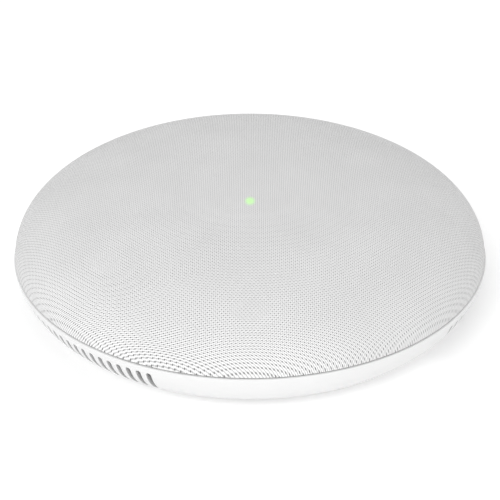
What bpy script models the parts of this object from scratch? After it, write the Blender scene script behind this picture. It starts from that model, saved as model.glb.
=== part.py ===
"""A low, round, fabric-topped smart speaker, as an assembly of separate pieces.

Metres, +Z up. The origin is on the table under the centre of the speaker. The front is -Y.
Azimuths are degrees seen from above, 0 at the front and positive towards +X.
"""

import math

import bmesh
import bpy
from mathutils import Matrix, Vector

MM = 0.001
GAP = 0.0003  # left between pieces that touch

# Driving dimensions: the outside
SEAM_RADIUS = 84.5 * MM
LIP_RADIUS = 85.0 * MM
SEAM_Z = 18.45 * MM
SEAM_HALF_GAP = 0.25 * MM
DOME_RISE = 29.3 * MM
DOME_POWER = 2.28  # superellipse powers of the dome, across and upwards
DOME_ROUND = 2.24
BOWL_DEPTH = 21.1 * MM  # where the bowl's curve would close, below the table
BOWL_POWER = 1.56
BOWL_ROUND = 6.8
WALL = 2.2 * MM
UNDERSIDE_Z = 1.2 * MM

# Vents
VENT_PITCH = 2.58  # degrees
VENTS_PER_SIDE = 41
VENT_FIRST = -22.94  # azimuth of the first slot, left of the front
VENT_WIDTH = 1.75 * MM
VENT_TOP_Z = 15.9 * MM
VENT_BOTTOM_Z = 5.9 * MM

# Underside
COVER_RADIUS = 68.0 * MM
COVER_TOP_Z = 3.6 * MM
FLANGE_Z = (3.9 * MM, 5.6 * MM)
FLANGE_INNER = 46.0 * MM
FOOT_RADII = (48.0 * MM, 58.0 * MM)
FOOT_TOP_Z = 1.7 * MM
BASE_SCREW_RADIUS = 53.0 * MM
BASE_SCREW_AZIMUTHS = (45, 135, 225, 315)
SHANK_HOLE = 1.7 * MM
RESET_HOLE = 1.9 * MM

# Frame and boards
TUB_RADIUS = 48.5 * MM
TUB_WALL = 1.6 * MM
TUB_Z = (5.9 * MM, 16.3 * MM)
GROMMET_Z = 11.0 * MM
WIRE_RADIUS = 0.55 * MM
WIRE_SPACING = 1.2 * MM
FRAME_WALL = (48.9 * MM, 50.9 * MM)
BRIM_Z = (16.6 * MM, 18.3 * MM)
BRIM_RADIUS = 79.9 * MM
DECK_Z = (26.3 * MM, 28.0 * MM)
DECK_HOLE = 36.5 * MM
BOARD_Z = (8.8 * MM, 10.0 * MM)
BOARD_RADII = (57.5 * MM, 74.6 * MM)
BOARD_AZIMUTHS = (105, 255)
PROCESSOR_AZIMUTH = 134
BOARD_SCREW_RADIUS = 66.0 * MM
BOARD_SCREW_AZIMUTHS = (112, 166, 248)
BOARD_POST_RADIUS = 2.4 * MM
BOARD_POST_BORE = 1.1 * MM
SENSOR_Z = (35.8 * MM, 37.0 * MM)
SENSOR_RADII = (43.5 * MM, 51.5 * MM)
SENSOR_POST_RADIUS = 47.5 * MM
SENSOR_POST_AZIMUTHS = (30, 150, 270)
MICROPHONE_AZIMUTHS = (90, 210, 330)
FLEX_WIDTH = 8.0 * MM
FLEX_AZIMUTH = 150
LIGHT_RADIUS = 19.9 * MM  # from the centre of the dome towards the front
LIGHT_PIPE_RADIUS = 1.9 * MM

# Driver
FLANGE_RADIUS = 44.0 * MM
DRIVER_SCREW_RADIUS = 41.9 * MM
DRIVER_SCREW_AZIMUTHS = (45, 135, 225, 315)
MOTOR_Z = (7.8 * MM, 17.3 * MM)
COIL_RADIUS = 10.05 * MM

# Ports and controls, all in the plain stretch of wall at the back
PORT_AZIMUTH = 180
PORT_Z = 11.9 * MM
PORT_OUTER = (14.0 * MM, 7.6 * MM)
PORT_WALL = 1.0 * MM
MUTE_AZIMUTH = 202
MUTE_Z = 12.2 * MM
MUTE_TRAVEL = 3.0 * MM
MUTE_KNOB = (5.0 * MM, 2.8 * MM)
MUTE_TIP = 83.8 * MM
SHUTTER_RADIUS = 76.8 * MM
RESET_RADIUS = 62.5 * MM

FINE, MEDIUM, COARSE = 40, 28, 18  # sides of round pieces


def clear_scene():
    for thing in list(bpy.data.objects):
        bpy.data.objects.remove(thing, do_unlink=True)


def new_collection(name):
    collection = bpy.data.collections.new(name)
    bpy.context.scene.collection.children.link(collection)
    return collection


def make_material(name, colour, roughness, metallic=0.0):
    made = bpy.data.materials.new(name)
    made.use_nodes = True
    shader = made.node_tree.nodes["Principled BSDF"]
    shader.inputs["Base Color"].default_value = (*colour, 1)
    shader.inputs["Roughness"].default_value = roughness
    shader.inputs["Metallic"].default_value = metallic
    return made


clear_scene()
PARTS = new_collection("smart_speaker")
CUTTERS = new_collection("cutters")

FABRIC = make_material("light_grey_fabric", (0.78, 0.78, 0.78), 0.9)
WHITE = make_material("white_plastic", (0.9, 0.9, 0.9), 0.35)
GREY = make_material("grey_plastic", (0.35, 0.36, 0.37), 0.55)
BLACK = make_material("black_plastic", (0.03, 0.03, 0.03), 0.5)
SILICONE = make_material("grey_silicone", (0.45, 0.46, 0.47), 0.8)
FOAM = make_material("dark_foam", (0.07, 0.07, 0.08), 1.0)
MESH = make_material("vent_mesh", (0.5, 0.5, 0.5), 0.9)
STEEL = make_material("zinc_plated_steel", (0.62, 0.62, 0.62), 0.35, 1.0)
FERRITE = make_material("nickel_plated_magnet", (0.55, 0.53, 0.5), 0.3, 1.0)
ALUMINIUM = make_material("aluminium", (0.78, 0.79, 0.8), 0.4, 1.0)
COPPER = make_material("copper_winding", (0.72, 0.36, 0.18), 0.4, 1.0)
PAPER = make_material("black_paper", (0.05, 0.05, 0.05), 0.85)
CLOTH = make_material("amber_cloth", (0.55, 0.36, 0.14), 0.9)
RUBBER = make_material("black_rubber", (0.03, 0.03, 0.03), 0.75)
LAMINATE = make_material("green_laminate", (0.03, 0.2, 0.1), 0.45)
CLEAR = make_material("clear_plastic", (0.7, 0.95, 0.75), 0.15)
LED = make_material("green_led", (0.5, 1.0, 0.55), 0.3)
PAD = make_material("thermal_pad", (0.55, 0.6, 0.7), 0.8)
FLEX = make_material("amber_flex", (0.6, 0.35, 0.08), 0.4)
RED = make_material("red_wire", (0.6, 0.03, 0.03), 0.5)


def outward(azimuth):
    angle = math.radians(azimuth)
    return Vector((math.sin(angle), -math.cos(angle), 0))


def polar(radius, azimuth, z=0.0):
    return outward(azimuth) * radius + Vector((0, 0, z))


def turn_to(azimuth):
    return Matrix.Rotation(math.radians(azimuth), 4, "Z")


def add_object(name, mesh, material=None, collection=PARTS):
    made = bpy.data.objects.new(name, mesh)
    collection.objects.link(made)
    if material:
        mesh.materials.append(material)
    if collection is CUTTERS:
        made.hide_render = True
        made.display_type = "WIRE"
    return made


def from_bmesh(name, solid, material=None, collection=PARTS, smooth=True):
    mesh = bpy.data.meshes.new(name)
    solid.to_mesh(mesh)
    solid.free()
    if smooth:
        mesh.shade_smooth()
        mesh.set_sharp_from_angle(angle=math.radians(35))
    return add_object(name, mesh, material, collection)


def clockwise(points):
    """The profile in the order that makes a Screw face outwards: down its outer side."""
    area = sum(a[0] * b[1] - b[0] * a[1] for a, b in zip(points, points[1:] + points[:1]))
    return points if area < 0 else points[::-1]


def turned(name, profile, material=None, sides=MEDIUM, collection=PARTS):
    """A profile of (radius, z) points turned about Z. One that starts on the axis also ends there."""
    points = clockwise(profile)
    on_axis = [index for index, point in enumerate(points) if point[0] == 0]
    if on_axis:
        start = next(i for i in on_axis if points[i - 1][0] == 0)
        points = points[start:] + points[:start]
    solid = bmesh.new()
    corners = [solid.verts.new((radius, 0, z)) for radius, z in points]
    for a, b in zip(corners, corners[1:]):
        solid.edges.new((a, b))
    if not on_axis:
        solid.edges.new((corners[-1], corners[0]))
    made = from_bmesh(name, solid, material, collection, smooth=False)
    screw = made.modifiers.new("turn", "SCREW")
    screw.axis = "Z"
    screw.angle = math.tau
    screw.steps = screw.render_steps = sides
    screw.use_merge_vertices = True
    screw.merge_threshold = 0.00001
    screw.use_smooth_shade = True
    return made


def turned_arc(name, profile, azimuths, material, steps):
    """The same profile swept between two azimuths only, with flat ends."""
    solid = bmesh.new()
    start = outward(azimuths[0])
    corners = [solid.verts.new(start * radius + Vector((0, 0, z))) for radius, z in profile]
    face = solid.faces.new(corners)
    bmesh.ops.spin(
        solid,
        geom=[face, *face.edges, *face.verts],
        axis=(0, 0, 1),
        angle=math.radians(azimuths[1] - azimuths[0]),
        steps=steps,
    )
    bmesh.ops.recalc_face_normals(solid, faces=solid.faces)
    return from_bmesh(name, solid, material)


def plate(name, outlines, z, material):
    """A flat plate between two heights. The first outline is its edge and the others are holes."""
    outline = bpy.data.curves.new(name, "CURVE")
    outline.dimensions = "2D"
    outline.fill_mode = "BOTH"
    outline.extrude = (z[1] - z[0]) / 2
    for points in outlines:
        spline = outline.splines.new("POLY")
        spline.points.add(len(points) - 1)
        for corner, point in zip(spline.points, points):
            corner.co = (point[0], point[1], 0, 1)
        spline.use_cyclic_u = True
    made = bpy.data.objects.new(name, outline)
    made.location.z = (z[0] + z[1]) / 2
    PARTS.objects.link(made)
    outline.materials.append(material)
    return made


def arc(radius, start, end, steps):
    return [
        tuple(polar(radius, start + (end - start) * i / steps).xy) for i in range(steps + 1)
    ]


def circle(centre, radius, sides=12):
    turns = [math.tau * i / sides for i in range(sides)]
    return [(centre[0] + radius * math.cos(turn), centre[1] + radius * math.sin(turn)) for turn in turns]


def box(solid, size, centre, azimuth=0.0):
    """Adds a box to a bmesh. Its size is along the wall, outwards and upwards."""
    place = turn_to(azimuth) @ Matrix.Translation(centre) @ Matrix.Diagonal((*size, 1))
    bmesh.ops.create_cube(solid, size=1, matrix=place)


def block(name, size, radius, azimuth, z, material, bevel=0.0):
    """A box on its own, standing at height z with its middle at a radius and an azimuth."""
    solid = bmesh.new()
    bmesh.ops.create_cube(solid, size=1, matrix=Matrix.Diagonal((*size, 1)))
    made = from_bmesh(name, solid, material)
    made.location = polar(radius, azimuth, z + size[2] / 2)
    made.rotation_euler.z = math.radians(azimuth)
    if bevel:
        edge = made.modifiers.new("edges", "BEVEL")
        edge.width = bevel
        edge.segments = 2
    return made


def rod(solid, radius, z, place, sides=12):
    """Adds an upright cylinder between two heights to a bmesh."""
    bmesh.ops.create_cone(
        solid,
        cap_ends=True,
        segments=sides,
        radius1=radius,
        radius2=radius,
        depth=z[1] - z[0],
        matrix=Matrix.Translation((place[0], place[1], (z[0] + z[1]) / 2)),
    )


def stadium(solid, width, length, depth, place, sides=8):
    """Adds a prism along local Y whose section, upright in local Z, has round ends."""
    stand = Matrix.Rotation(math.pi / 2, 4, "X") @ Matrix.Rotation(math.pi / sides, 4, "Z")
    half = width / 2
    made = bmesh.ops.create_cone(
        solid, cap_ends=True, segments=sides, radius1=half, radius2=half, depth=depth, matrix=stand
    )
    reach = (length - width) / 2
    for corner in made["verts"]:
        corner.co.z += math.copysign(reach, corner.co.z)
        corner.co = place @ corner.co


def lying_rod(solid, radius, length, place, sides):
    """Adds a cylinder that lies along Y to a bmesh, with its middle at a place."""
    lie = Matrix.Translation(place) @ Matrix.Rotation(math.pi / 2, 4, "X")
    bmesh.ops.create_cone(
        solid, cap_ends=True, segments=sides, radius1=radius, radius2=radius, depth=length, matrix=lie
    )


def boolean(target, tool, operation):
    cut = target.modifiers.new(tool.name, "BOOLEAN")
    cut.operation = operation
    cut.object = tool


def dome_curve(inset, lowest, steps):
    """The dome's outline moved in by an inset, from its top down to a height over the seam."""
    radius, rise = SEAM_RADIUS - inset, DOME_RISE - inset
    end = math.acos((lowest / rise) ** (DOME_ROUND / 2))
    angles = [end * i / steps for i in range(steps + 1)]
    base = SEAM_Z + SEAM_HALF_GAP
    return [
        (radius * math.sin(a) ** (2 / DOME_POWER), base + rise * math.cos(a) ** (2 / DOME_ROUND))
        for a in angles
    ]


def bowl_radius(z, inset=0.0):
    depth = (SEAM_Z - z) / (BOWL_DEPTH - inset)
    return (LIP_RADIUS - inset) * (1 - max(depth, 0) ** BOWL_POWER) ** (1 / BOWL_ROUND)


def bowl_curve(inset, top, bottom, steps):
    """The bowl's outline moved in by an inset, from one height down to another, closer-set low down."""
    heights = [top + (bottom - top) * (i / steps) ** 0.8 for i in range(steps + 1)]
    return [(bowl_radius(z, inset), z) for z in heights]


def build_fabric_cover():
    """The stretched cloth: one even layer over the dome, with its hem tucked flat under the rim."""
    thickness, hem = 0.6 * MM, 2.1 * MM
    outer = dome_curve(0, 0, 8)
    inner = dome_curve(thickness, thickness, 7)
    tuck = SEAM_RADIUS - hem
    bottom = SEAM_Z + SEAM_HALF_GAP
    profile = outer + [(tuck, bottom), (tuck, bottom + thickness)] + inner[::-1]
    turned("fabric_cover", profile, FABRIC, FINE)


def build_grille_dome():
    """The stiff dome that the cloth is stretched over, with rings of slots for the sound."""
    gap_and_fabric = 1.1 * MM
    thickness = 1.8 * MM
    outer = dome_curve(gap_and_fabric, gap_and_fabric, 7)
    inner = dome_curve(gap_and_fabric + thickness, gap_and_fabric, 6)
    dome = turned("grille_dome", outer + inner[::-1], WHITE, MEDIUM)
    slot_width, slot_length, slot_depth, slot_z = 3.6 * MM, 11 * MM, 40 * MM, 35 * MM
    lie = Matrix.Rotation(math.pi / 2, 4, "X")
    slots = bmesh.new()
    for radius, count in ((32 * MM, 8), (48 * MM, 12), (64 * MM, 16)):
        for i in range(count):
            place = turn_to(360 * (i + 0.5) / count) @ Matrix.Translation((0, -radius, slot_z)) @ lie
            stadium(slots, slot_width, slot_length, slot_depth, place, sides=6)
    rod(slots, LIGHT_PIPE_RADIUS + GAP, (40 * MM, 50 * MM), polar(LIGHT_RADIUS, 0), sides=16)
    boolean(dome, from_bmesh("grille_slots", slots, collection=CUTTERS), "DIFFERENCE")


def build_rim_gasket():
    inner, outer = 81.2 * MM, 82.9 * MM
    low, high = 17.5 * MM, 18.4 * MM
    turned("rim_gasket", [(inner, high), (outer, high), (outer, low), (inner, low)], FOAM, FINE)


def vent_azimuths():
    """Two runs of slots, each the other turned by half a turn."""
    run = [VENT_FIRST - VENT_PITCH * i for i in range(VENTS_PER_SIDE)]
    return run, [azimuth + 180 for azimuth in run]


def build_base_shell():
    """The moulded bowl: its wall with two runs of vents, the socket's window and the mute slider's slot."""
    ledge, ledge_low, ledge_top = 80.4 * MM, 16.4 * MM, 17.2 * MM
    lip_top = SEAM_Z - SEAM_HALF_GAP
    lip_inner = 83.2 * MM
    rebate = COVER_RADIUS + GAP
    profile = bowl_curve(0, lip_top, UNDERSIDE_Z, 5)
    profile += [(rebate, UNDERSIDE_Z), (rebate, FLANGE_Z[0]), (FLANGE_INNER, FLANGE_Z[0])]
    profile += [(FLANGE_INNER, FLANGE_Z[1])]
    profile += bowl_curve(WALL, ledge_low, FLANGE_Z[1], 2)[::-1]
    profile += [(ledge, ledge_low), (ledge, ledge_top), (lip_inner, ledge_top), (lip_inner, lip_top)]
    shell = turned("base_shell", profile, WHITE, FINE)

    posts = bmesh.new()
    for azimuth in BOARD_SCREW_AZIMUTHS:
        rod(posts, BOARD_POST_RADIUS, (4.6 * MM, BOARD_Z[0] - GAP), polar(BOARD_SCREW_RADIUS, azimuth))
    boolean(shell, from_bmesh("board_posts", posts, collection=CUTTERS), "UNION")

    holes = bmesh.new()
    middle = (VENT_TOP_Z + VENT_BOTTOM_Z) / 2
    through = 16 * MM  # longer than the wall is thick, for every hole across it
    across = -82.5 * MM
    for run in vent_azimuths():
        for azimuth in run:
            box(holes, (VENT_WIDTH, through, VENT_TOP_Z - VENT_BOTTOM_Z), (0, across, middle), azimuth)
    for azimuth in BOARD_SCREW_AZIMUTHS:
        rod(holes, BOARD_POST_BORE, (4.2 * MM, 12 * MM), polar(BOARD_SCREW_RADIUS, azimuth))
    for azimuth in BASE_SCREW_AZIMUTHS:
        rod(holes, SHANK_HOLE, (3 * MM, 7 * MM), polar(BASE_SCREW_RADIUS, azimuth))
    rod(holes, RESET_HOLE, (3 * MM, 7 * MM), polar(RESET_RADIUS, 180))
    port = (PORT_OUTER[0] + 2 * GAP, through, PORT_OUTER[1] + 2 * GAP)
    box(holes, port, (0, across, PORT_Z), PORT_AZIMUTH)
    slot = (MUTE_KNOB[0] + MUTE_TRAVEL + 2 * GAP, through, MUTE_KNOB[1] + 0.8 * MM)
    box(holes, slot, (MUTE_TRAVEL / 2, across, MUTE_Z), MUTE_AZIMUTH)
    boolean(shell, from_bmesh("shell_holes", holes, collection=CUTTERS), "DIFFERENCE")


def build_vent_meshes():
    """A strip of woven mesh behind each run of vents, curved like the wall."""
    near, far = WALL + 0.5 * MM, WALL + 1.0 * MM
    high, low = 16.1 * MM, 6.2 * MM
    outer = bowl_curve(near, high, low, 3)
    inner = bowl_curve(far, high, low, 3)
    for name, run in zip(("vent_mesh_left", "vent_mesh_right"), vent_azimuths()):
        turned_arc(name, outer + inner[::-1], (run[0] + 2, run[-1] - 2), MESH, 16)


def build_bottom_cover():
    """The round plate that closes the base: a groove for the foot, screw recesses and the reset hole."""
    groove_z = FOOT_TOP_Z + GAP
    inner, outer = FOOT_RADII[0] - GAP, FOOT_RADII[1] + GAP
    profile = [(0, COVER_TOP_Z), (COVER_RADIUS, COVER_TOP_Z), (COVER_RADIUS, UNDERSIDE_Z)]
    profile += [(outer, UNDERSIDE_Z), (outer, groove_z), (inner, groove_z)]
    profile += [(inner, UNDERSIDE_Z), (0, UNDERSIDE_Z)]
    cover = turned("bottom_cover", profile, WHITE, FINE)
    holes = bmesh.new()
    for azimuth in BASE_SCREW_AZIMUTHS:
        rod(holes, 2.6 * MM, (1.5 * MM, 3.1 * MM), polar(BASE_SCREW_RADIUS, azimuth))
    rod(holes, RESET_HOLE, (0, 5 * MM), polar(RESET_RADIUS, 180))
    boolean(cover, from_bmesh("cover_recesses", holes, collection=CUTTERS), "DIFFERENCE")
    shanks = bmesh.new()
    for azimuth in BASE_SCREW_AZIMUTHS:
        rod(shanks, SHANK_HOLE, (2.5 * MM, 5 * MM), polar(BASE_SCREW_RADIUS, azimuth))
    boolean(cover, from_bmesh("cover_shank_holes", shanks, collection=CUTTERS), "DIFFERENCE")


def build_foot_ring():
    inner, outer = FOOT_RADII
    edge = 0.5 * MM
    profile = [(inner, FOOT_TOP_Z), (outer, FOOT_TOP_Z), (outer, edge), (outer - edge, 0)]
    turned("foot_ring", profile + [(inner + edge, 0), (inner, edge)], SILICONE, FINE)


def screw(name, place, head, head_z, shank, shank_z):
    """A pan-head screw, head up or head down. Its head and its shank each have a radius and two heights."""
    top, bottom = max(head_z[1], shank_z[1]), min(head_z[0], shank_z[0])
    if head_z[1] >= shank_z[1]:
        steps = [(head, top), (head, head_z[0]), (shank, head_z[0]), (shank, bottom)]
    else:
        steps = [(shank, top), (shank, head_z[1]), (head, head_z[1]), (head, bottom)]
    made = turned(name, [(0, top), *steps, (0, bottom)], STEEL, 8)
    made.location = (place[0], place[1], 0)


def build_base_screws():
    for number, azimuth in enumerate(BASE_SCREW_AZIMUTHS, 1):
        place = polar(BASE_SCREW_RADIUS, azimuth)
        head_z, shank_z = (2.0 * MM, 2.8 * MM), (2.4 * MM, 14 * MM)
        screw(f"base_screw_{number}", place, 2.3 * MM, head_z, 1.2 * MM, shank_z)


def build_inner_frame():
    """The grey chassis: a wall round the tub, a deck that holds the driver and a brim out to the seam."""
    inner, outer = FRAME_WALL
    skirt = 14.6 * MM
    profile = [(DECK_HOLE, DECK_Z[1]), (outer, DECK_Z[1]), (outer, BRIM_Z[1]), (BRIM_RADIUS, BRIM_Z[1])]
    profile += [(BRIM_RADIUS, BRIM_Z[0]), (outer, BRIM_Z[0]), (outer, skirt), (inner, skirt)]
    profile += [(inner, DECK_Z[0]), (DECK_HOLE, DECK_Z[0])]
    frame = turned("inner_frame", profile, GREY, FINE)

    posts = bmesh.new()
    for azimuth in BASE_SCREW_AZIMUTHS:
        rod(posts, 3.2 * MM, (FLANGE_Z[1] + GAP, 17.5 * MM), polar(BASE_SCREW_RADIUS, azimuth), 16)
    for azimuth in SENSOR_POST_AZIMUTHS:
        rod(posts, 2.0 * MM, (27 * MM, SENSOR_Z[0] - GAP), polar(SENSOR_POST_RADIUS, azimuth))
    boolean(frame, from_bmesh("frame_posts", posts, collection=CUTTERS), "UNION")

    holes = bmesh.new()
    for azimuth in BASE_SCREW_AZIMUTHS:
        rod(holes, 1.5 * MM, (5 * MM, 14.4 * MM), polar(BASE_SCREW_RADIUS, azimuth))
    for azimuth in DRIVER_SCREW_AZIMUTHS:
        rod(holes, 1.2 * MM, (25 * MM, 29 * MM), polar(DRIVER_SCREW_RADIUS, azimuth))
    box(holes, (FLEX_WIDTH + 2 * MM, 4 * MM, 6 * MM), (0, -53.6 * MM, 18 * MM), FLEX_AZIMUTH)
    boolean(frame, from_bmesh("frame_holes", holes, collection=CUTTERS), "DIFFERENCE")


def build_speaker_tub():
    """The closed cup behind the driver, with a hole for the grommet."""
    floor = 1.5 * MM
    inner = TUB_RADIUS - TUB_WALL
    low, high = TUB_Z
    profile = [(0, low + floor), (inner, low + floor), (inner, high), (TUB_RADIUS, high)]
    tub = turned("speaker_tub", profile + [(TUB_RADIUS, low), (0, low)], GREY, FINE)
    hole = bmesh.new()
    lying_rod(hole, 2.5 * MM, 6 * MM, (0, TUB_RADIUS - TUB_WALL / 2, GROMMET_Z), 16)
    boolean(tub, from_bmesh("grommet_hole", hole, collection=CUTTERS), "DIFFERENCE")


def build_wire_grommet():
    """A rubber spool in the tub's wall, with a hole for each wire. It lies along Y."""
    wide, narrow = 3.2 * MM, 2.2 * MM
    half, waist = 2.4 * MM, 1.3 * MM
    profile = [(0, half), (wide, half), (wide, waist), (narrow, waist), (narrow, -waist), (wide, -waist)]
    spool = turned("wire_grommet", profile + [(wide, -half), (0, -half)], RUBBER, 16)
    spool.location = (0, TUB_RADIUS - TUB_WALL / 2, GROMMET_Z)
    spool.rotation_euler.x = math.pi / 2
    holes = bmesh.new()
    for side in (-1, 1):
        lying_rod(holes, 0.9 * MM, 12 * MM, (side * WIRE_SPACING, TUB_RADIUS, GROMMET_Z), 10)
    boolean(spool, from_bmesh("wire_holes", holes, collection=CUTTERS), "DIFFERENCE")


def smooth_path(points, steps):
    """Points along a Catmull-Rom curve through the given ones."""
    ends = [points[0] * 2 - points[1], *points, points[-1] * 2 - points[-2]]
    path = []
    for a, b, c, d in zip(ends, ends[1:], ends[2:], ends[3:]):
        square, cube = 2 * a - 5 * b + 4 * c - d, 3 * b - a - 3 * c + d
        for i in range(steps):
            t = i / steps
            path.append((2 * b + (c - a) * t + square * t**2 + cube * t**3) / 2)
    return path + [points[-1]]


def build_speaker_wires():
    """Two wires from the main board, through the grommet, up to the driver's terminals."""
    for name, side, material in (("speaker_wire_red", 1, RED), ("speaker_wire_black", -1, RUBBER)):
        route = [
            (3.0, 59.5, 10.9), (2.0, 56.0, 11.3), (1.2, 52.0, 11.0), (1.2, 47.7, 11.0), (1.2, 44.0, 11.2),
            (1.8, 42.2, 14.0), (2.6, 41.4, 18.0), (3.4, 40.0, 22.0), (3.8, 37.0, 24.0), (4.0, 34.6, 24.2),
        ]
        points = [Vector((x * side, y, z)) * MM for x, y, z in route]
        wire = bpy.data.curves.new(name, "CURVE")
        wire.dimensions = "3D"
        wire.bevel_depth = WIRE_RADIUS
        wire.bevel_resolution = 2
        wire.use_fill_caps = True
        spline = wire.splines.new("POLY")
        path = smooth_path(points, 2)
        spline.points.add(len(path) - 1)
        for corner, point in zip(spline.points, path):
            corner.co = (*point, 1)
        made = bpy.data.objects.new(name, wire)
        PARTS.objects.link(made)
        wire.materials.append(material)


def build_damping_foam():
    inner, outer, low, high = 17 * MM, 44.5 * MM, 7.8 * MM, 10.0 * MM
    turned("damping_foam", [(inner, high), (outer, high), (outer, low), (inner, low)], FOAM, COARSE)


def build_driver_frame():
    """The pressed steel basket with four windows, and the foam ring that it sits on."""
    inner, outer, low, high = 37.2 * MM, 40.0 * MM, 28.3 * MM, 29.0 * MM
    turned("driver_gasket", [(inner, high), (outer, high), (outer, low), (inner, low)], FOAM, MEDIUM)
    top, under = 30.5 * MM, 29.3 * MM
    profile = [
        (34.2 * MM, top), (FLANGE_RADIUS, top), (FLANGE_RADIUS, under), (35.2 * MM, under),
        (26.0 * MM, 18.2 * MM), (15.3 * MM, 16.6 * MM), (15.3 * MM, 12.5 * MM), (14.3 * MM, 12.5 * MM),
        (14.3 * MM, 17.9 * MM), (21.0 * MM, 18.8 * MM), (21.0 * MM, 19.3 * MM), (25.4 * MM, 19.3 * MM),
    ]
    basket = turned("driver_basket", profile, STEEL, COARSE)
    holes = bmesh.new()
    for i in range(4):
        box(holes, (26 * MM, 16 * MM, 6.4 * MM), (0, -34 * MM, 24.2 * MM), 90 * i)
    for azimuth in DRIVER_SCREW_AZIMUTHS:
        rod(holes, 1.2 * MM, (28 * MM, 32 * MM), polar(DRIVER_SCREW_RADIUS, azimuth))
    boolean(basket, from_bmesh("basket_windows", holes, collection=CUTTERS), "DIFFERENCE")


def build_driver_screws():
    for number, azimuth in enumerate(DRIVER_SCREW_AZIMUTHS, 1):
        place = polar(DRIVER_SCREW_RADIUS, azimuth)
        head_z, shank_z = (30.8 * MM, 32.0 * MM), (24.8 * MM, 31 * MM)
        screw(f"driver_screw_{number}", place, 1.9 * MM, head_z, 0.9 * MM, shank_z)


def build_motor():
    """The magnet motor: a steel cup, the magnet in it and the pole plate on top."""
    low, high = MOTOR_Z
    outer, bore, floor = 14.0 * MM, 11.4 * MM, 2.0 * MM
    cup = [(0, low + floor), (bore, low + floor), (bore, high), (outer, high), (outer, low), (0, low)]
    turned("motor_cup", cup, STEEL, MEDIUM)
    magnet_z = (low + floor + GAP, 14.4 * MM)
    turned("magnet", disc_profile(9.4 * MM, magnet_z), FERRITE, COARSE)
    turned("pole_plate", disc_profile(9.7 * MM, (magnet_z[1] + GAP, high)), STEEL, COARSE)


def disc_profile(radius, z):
    return [(0, z[1]), (radius, z[1]), (radius, z[0]), (0, z[0])]


def build_voice_coil():
    former, winding = COIL_RADIUS + 0.4 * MM, COIL_RADIUS + 0.8 * MM
    top, shoulder, bottom = 21.9 * MM, 16.4 * MM, 12.4 * MM
    profile = [(COIL_RADIUS, top), (former, top), (former, shoulder), (winding, shoulder)]
    turned("voice_coil", profile + [(winding, bottom), (COIL_RADIUS, bottom)], COPPER, COARSE)


def build_spider():
    """The rippled cloth ring that centres the voice coil."""
    inner, outer, steps = 10.8 * MM, 24.8 * MM, 8
    middle, wave, thickness = 20.4 * MM, 0.45 * MM, 0.3 * MM
    top = []
    for i in range(steps + 1):
        share = i / steps
        ripple = (-1) ** i if 0 < i < steps else 0
        top.append((inner + (outer - inner) * share, middle + wave * ripple))
    under = [(radius, z - thickness) for radius, z in top]
    turned("spider", top + under[::-1], CLOTH, COARSE)


def build_cone():
    neck, edge, thickness, steps = 10.9 * MM, 28.6 * MM, 0.5 * MM, 4
    low, high = 22.2 * MM, 30.0 * MM
    under = [
        (neck + (edge - neck) * i / steps, low + (high - low) * math.sin(math.pi / 2 * i / steps) ** 0.9)
        for i in range(steps + 1)
    ]
    over = [(radius, z + thickness) for radius, z in under]
    turned("cone", over + under[::-1], PAPER, COARSE)


def build_dust_cap():
    radius, rim, rise, thickness, steps = 13.5 * MM, 26.0 * MM, 3.4 * MM, 0.4 * MM, 4
    over = [
        (radius * math.sin(math.pi / 2 * i / steps), rim + rise * math.cos(math.pi / 2 * i / steps))
        for i in range(steps + 1)
    ]
    share = (radius - thickness) / radius
    under = [(r * share, rim + (z - rim) * (rise - thickness) / rise) for r, z in over]
    turned("dust_cap", over + under[::-1], PAPER, COARSE)


def build_surround():
    """The rubber half roll between the cone and the basket, with a flat lip on each side."""
    middle, roll, thickness, steps = 31.6 * MM, 2.4 * MM, 0.4 * MM, 5
    inner, outer, lip = 27.0 * MM, 37.0 * MM, 30.9 * MM
    top = [(inner, lip + thickness)]
    under = [(inner, lip)]
    for i in range(steps + 1):
        angle = math.pi * (1 - i / steps)
        across, up = math.cos(angle), roll * math.sin(angle)
        top.append((middle + (roll + thickness / 2) * across, lip + thickness + up))
        under.append((middle + (roll - thickness / 2) * across, lip + up))
    top.append((outer, lip + thickness))
    under.append((outer, lip))
    turned("surround", top + under[::-1], RUBBER, COARSE)


def build_sensor_board():
    """A ring above the driver, with a tongue that reaches in under the status light."""
    inner, outer = SENSOR_RADII
    half = 6 * MM
    side = math.degrees(math.asin(half / inner))
    tip = LIGHT_RADIUS - 4.5 * MM
    hole = arc(inner, side, 360 - side, 30) + [(-half, -tip), (half, -tip)]
    plate("sensor_board", [arc(outer, 0, 350, 35), hole], SENSOR_Z, LAMINATE)
    top = SENSOR_Z[1] + GAP
    can = (3.8 * MM, 3.0 * MM, 1.0 * MM)
    for number, azimuth in enumerate(MICROPHONE_AZIMUTHS, 1):
        block(f"microphone_{number}", can, SENSOR_POST_RADIUS, azimuth, top, STEEL, 0.2 * MM)
    block("status_led", (2.0 * MM, 2.0 * MM, 0.7 * MM), LIGHT_RADIUS, 0, top, LED, 0.15 * MM)


def build_light_pipe():
    low = SENSOR_Z[1] + 1.3 * MM
    high = 46.2 * MM
    taper_z, foot = 42 * MM, 1.5 * MM
    profile = [(0, high), (LIGHT_PIPE_RADIUS, high), (LIGHT_PIPE_RADIUS, taper_z), (foot, low), (0, low)]
    turned("light_pipe", profile, CLEAR, 16).location = polar(LIGHT_RADIUS, 0)


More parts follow.
